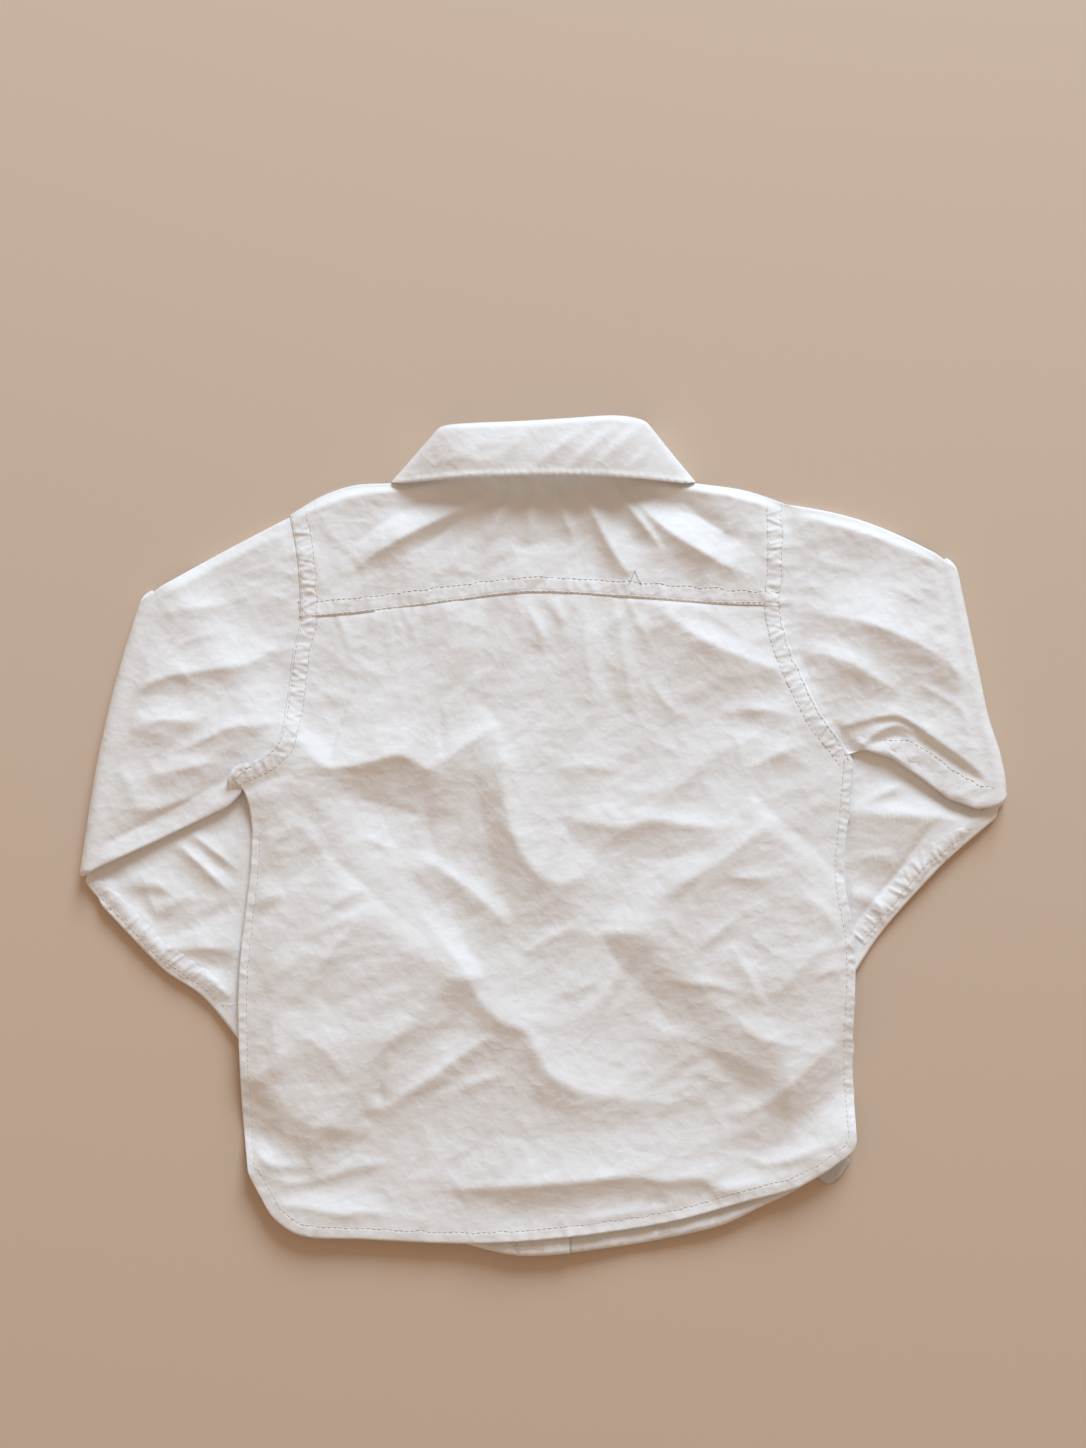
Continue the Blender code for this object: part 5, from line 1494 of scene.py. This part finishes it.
def seam_band(seam):
    """A felled seam: a narrow band, partly sunk in the cloth, that its thread draws up in
    small uneven puckers. It returns the band and its rows of stitches."""
    length = line_length(seam.line)
    line = spaced(seam.line, int(length / SEAM_STEP))
    at = np.linspace(0, length, len(line))[:, None]
    places = np.linspace(-1, 1, SEAM_ACROSS + 1)[None]
    wander = SEAM_WANDER * waves(at, at * 0, SEAM_WANDER_LENGTH, seam.seed)
    half = seam.half * (1 - SEAM_TAPER * smooth(1 - (1 - at / length) * SEAM_TAPER_PARTS))
    half = half * (seam.start + (1 - seam.start) * smooth(at / (2 * SEAM_END)))
    out = places * half + wander * (0.5 + 0.5 * places)
    plan = line[:, None] + left_of(line)[:, None] * out[..., None]
    body = smooth((1 - np.abs(places)) / SEAM_SIDE)
    body = body * smooth(at / SEAM_END) * smooth((length - at) / SEAM_END)
    reach = half.max() * PUCKER_REACH
    first = gathers(at, (PUCKER_PLACE + places) * half, length, seam.pitch, reach, seam.seed)
    second = gathers(at, (PUCKER_PLACE - places) * half, length, seam.pitch, reach, seam.seed + SECOND_SEED)
    height = seam.height_at(plan[..., 0], plan[..., 1]) + seam.cover - SEAM_THICK - SEAM_SUNK
    height += (SEAM_RISE + seam.pucker * (first + second - PUCKER_MEAN)) * body
    for row in seam.rows:
        height -= SEAM_ROW_DEPTH * np.exp(-(((places - row) * half / SEAM_ROW_WIDTH) ** 2)) * body
    grid = np.dstack([plan, height])
    made = [add_trim(sheet_object(seam.name, grid, thickness=SEAM_THICK))]
    for number, row in enumerate(seam.rows):
        column = np.full(len(line), (row + 1) / 2 * SEAM_ACROSS)
        thread = sampled(grid, np.arange(len(line), dtype=float), column)
        row = stitch_row(f"{seam.name}_stitches_{number + 1}", thread, seam.seed + number)
        made.append(add_trim(row))
    return made


def stitch_row(name, line, seed):
    """A row of stitches along a line in space that lies on the cloth."""
    random = np.random.default_rng(seed)
    count = max(2, int(line_length(line) / STITCH_PITCH))
    dense = spaced(line, count * 2 + 1)
    first, last = dense[0:-1:2], dense[1::2]
    middle = (first + last) / 2
    reach = (last - first) / np.linalg.norm(last - first, axis=1)[:, None] * STITCH_LENGTH / 2
    lift = np.array([0, 0, CLOTH + STITCH_GAP])
    shake = random.normal(0, STITCH_SHAKE, (2, *first.shape))
    up = np.tile([0.0, 0.0, 1.0], (len(first), 1))
    return stitch_mesh(name, middle - reach + lift + shake[0], middle + reach + lift + shake[1], up)


def add_threads():
    """The loose ends of sewing thread on the yoke and along the front hem."""
    for number, (place, path) in enumerate(LOOSE_THREADS):
        height_at = {"yoke": on_yoke, "front": on_front_hem}[place]
        line = spaced(spline(path), THREAD_POINTS)
        arch = THREAD_ARCH * np.sin(np.linspace(0, math.pi, THREAD_POINTS))
        height = height_at(*line.T) + arch
        points = np.column_stack([line, height])
        up = np.tile([0.0, 0.0, 1.0], (len(points) - 1, 1))
        add_trim(stitch_mesh(f"loose_thread_{number + 1}", points[:-1], points[1:], up))


def on_yoke(x, y):
    """The height of a thread on the yoke's seam."""
    return yoke_height(x, y) + CLOTH + SEAM_THICK


def on_front_hem(x, y):
    """The height of a thread on the strip of front below the hem."""
    return front_bottom(x, y, BUTTON_BAND_Z) + WALL + CLOTH


def body_top(x, y):
    """The height of whichever of the yoke and the back lies here."""
    return np.where(y > yoke_line_y(x), yoke_height(x, y), back_height(x, y))


def curl_top(x, y):
    """The end of the left armhole's seam, which turns down on to the sleeve's edge."""
    down = (CURL_TOP_Y - y) / (CURL_TOP_Y - LEFT_CURL[-1][1])
    return body_top(x, y) + CURL_RISE - CURL_FALL * smooth(down)


def upper_arm_top(sleeve):
    """The height of an upper arm as a function of the place."""
    def height_at(x, y):
        line = np.stack([np.ravel(x), np.ravel(y)], axis=1)
        middle = np.full(len(line), 0.5)
        return upper_arm_height(line, middle, np.ones(len(line)), sleeve).reshape(np.shape(x))
    return height_at


def forearm_top(sleeve):
    """The height of a forearm as a function of the place."""
    def height_at(x, y):
        stand, half = forearm_edge(x, y, sleeve)
        return stand + 2 * half + forearm_relief(x, y, sleeve)
    return height_at


def add_seams():
    """The felled seams, by the name of the piece of cloth that each lies on."""
    left, right = SLEEVES
    arm_left, arm_right = inset_line(BODY_LEFT_ARMHOLE, 4.2), inset_line(RIGHT_ARMHOLE, -4.2)
    yoke, hem = inset_line(YOKE_SEAM, 3.9), inset_line(BACK_HEM, 3.0)
    side_left, side_right = inset_line(LEFT_SIDE, 2.3), inset_line(RIGHT_SIDE, -2.3)
    arm_rows, side_rows = (-0.74, 0.8), (0.7,)
    seams = {
        "back_cloth": (
            Seam("armhole_band_left", arm_left, 4.1, body_top, CLOTH, 0.45, 3.2, 3, arm_rows),
            Seam("armhole_curl_left", spline(LEFT_CURL), 2.2, curl_top, CLOTH, 0.3, 3.2, 4, (0.1,)),
            Seam("armhole_band_right", arm_right, 4.1, body_top, CLOTH, 0.45, 3.2, 5, arm_rows),
            Seam("side_band_left", side_left, 2.2, back_height, CLOTH, 0.15, 4.2, 9, side_rows),
            Seam("side_band_right", side_right, 2.2, back_height, CLOTH, 0.25, 3.6, 11, (-0.7,)),
            Seam("hem_band", hem, 2.9, back_height, CLOTH, 0.15, 5.5, 13, side_rows),
        ),
        "yoke_cloth": (
            Seam("yoke_band", yoke, 4.0, yoke_height, CLOTH, 0.3, 4.2, 7, (-0.75, 0.8)),
        ),
        "sleeve_left_cloth": (
            Seam("forearm_band_left", spline(LEFT_FOREARM_SEAM), 5.0, forearm_top(left), 0.0, 0.4, 3.8,
                 15, (-0.5,), 0.4),
        ),
        "sleeve_right_cloth": (
            Seam("forearm_band_right", spline(RIGHT_FOREARM_SEAM), 5.0, forearm_top(right), 0.0, 0.62,
                 3.8, 17, (0.35,), 0.3),
            Seam("opening_band_right", spline(RIGHT_OPENING_SEAM), 5.2, upper_arm_top(right), 0.0, 0.35,
                 6.0, 19, (0.8,), 0.3),
        ),
    }
    return {cloth: sum((seam_band(seam) for seam in rows), []) for cloth, rows in seams.items()}


def add_stage():
    """A plain pale floor, soft light from beyond the collar, and the photo's camera."""
    bpy.ops.mesh.primitive_plane_add(size=FLOOR_SIZE, location=(0, 0, -FLOOR_DROP))
    floor = bpy.context.object
    floor.name = "floor"
    floor.data.materials.append(material("floor_plain", FLOOR_COLOUR, 0.75))
    scene = bpy.context.scene
    world = bpy.data.worlds.new("studio")
    world.use_nodes = True
    background = world.node_tree.nodes["Background"]
    background.inputs["Color"].default_value = (*FILL_COLOUR, 1)
    background.inputs["Strength"].default_value = FILL_STRENGTH
    scene.world = world
    key = bpy.data.lights.new("key", "AREA")
    key.shape = "DISK"
    key.size = KEY_SIZE
    key.energy = KEY_WATTS
    key.color = KEY_COLOUR
    key_object = bpy.data.objects.new("key", key)
    scene.collection.objects.link(key_object)
    aim(key_object, KEY_PLACE, KEY_TARGET)
    camera = bpy.data.cameras.new("photo_camera")
    camera.lens = CAMERA_LENS
    camera_object = bpy.data.objects.new("photo_camera", camera)
    camera_object.location = (*CAMERA_AXIS * MM, CAMERA_HEIGHT * MM)
    scene.collection.objects.link(camera_object)
    scene.camera = camera_object
    scene.view_settings.view_transform = "Standard"


def aim(thing, place, target):
    """Puts a thing at a place so that it points at the target."""
    thing.location = place
    thing.rotation_euler = (Vector(target) - Vector(place)).to_track_quat("-Z", "Y").to_euler()


def corners(box):
    """A box's two corners as plain lists."""
    return [[float(value) for value in corner] for corner in box]


def main():
    add_stage()
    seams = add_seams()
    add_back()
    add_yoke()
    add_front("left")
    add_front("right")
    add_band("band_buttonhole_cloth", "band_buttonhole", BUTTONHOLE_BAND_Z)
    add_band("band_button_cloth", "band_button", BUTTON_BAND_Z)
    for sleeve in SLEEVES:
        add_sleeve(sleeve)
        add_cuff(sleeve)
    add_leaf()
    add_stand()
    add_buttons()
    add_label()
    add_threads()


main()
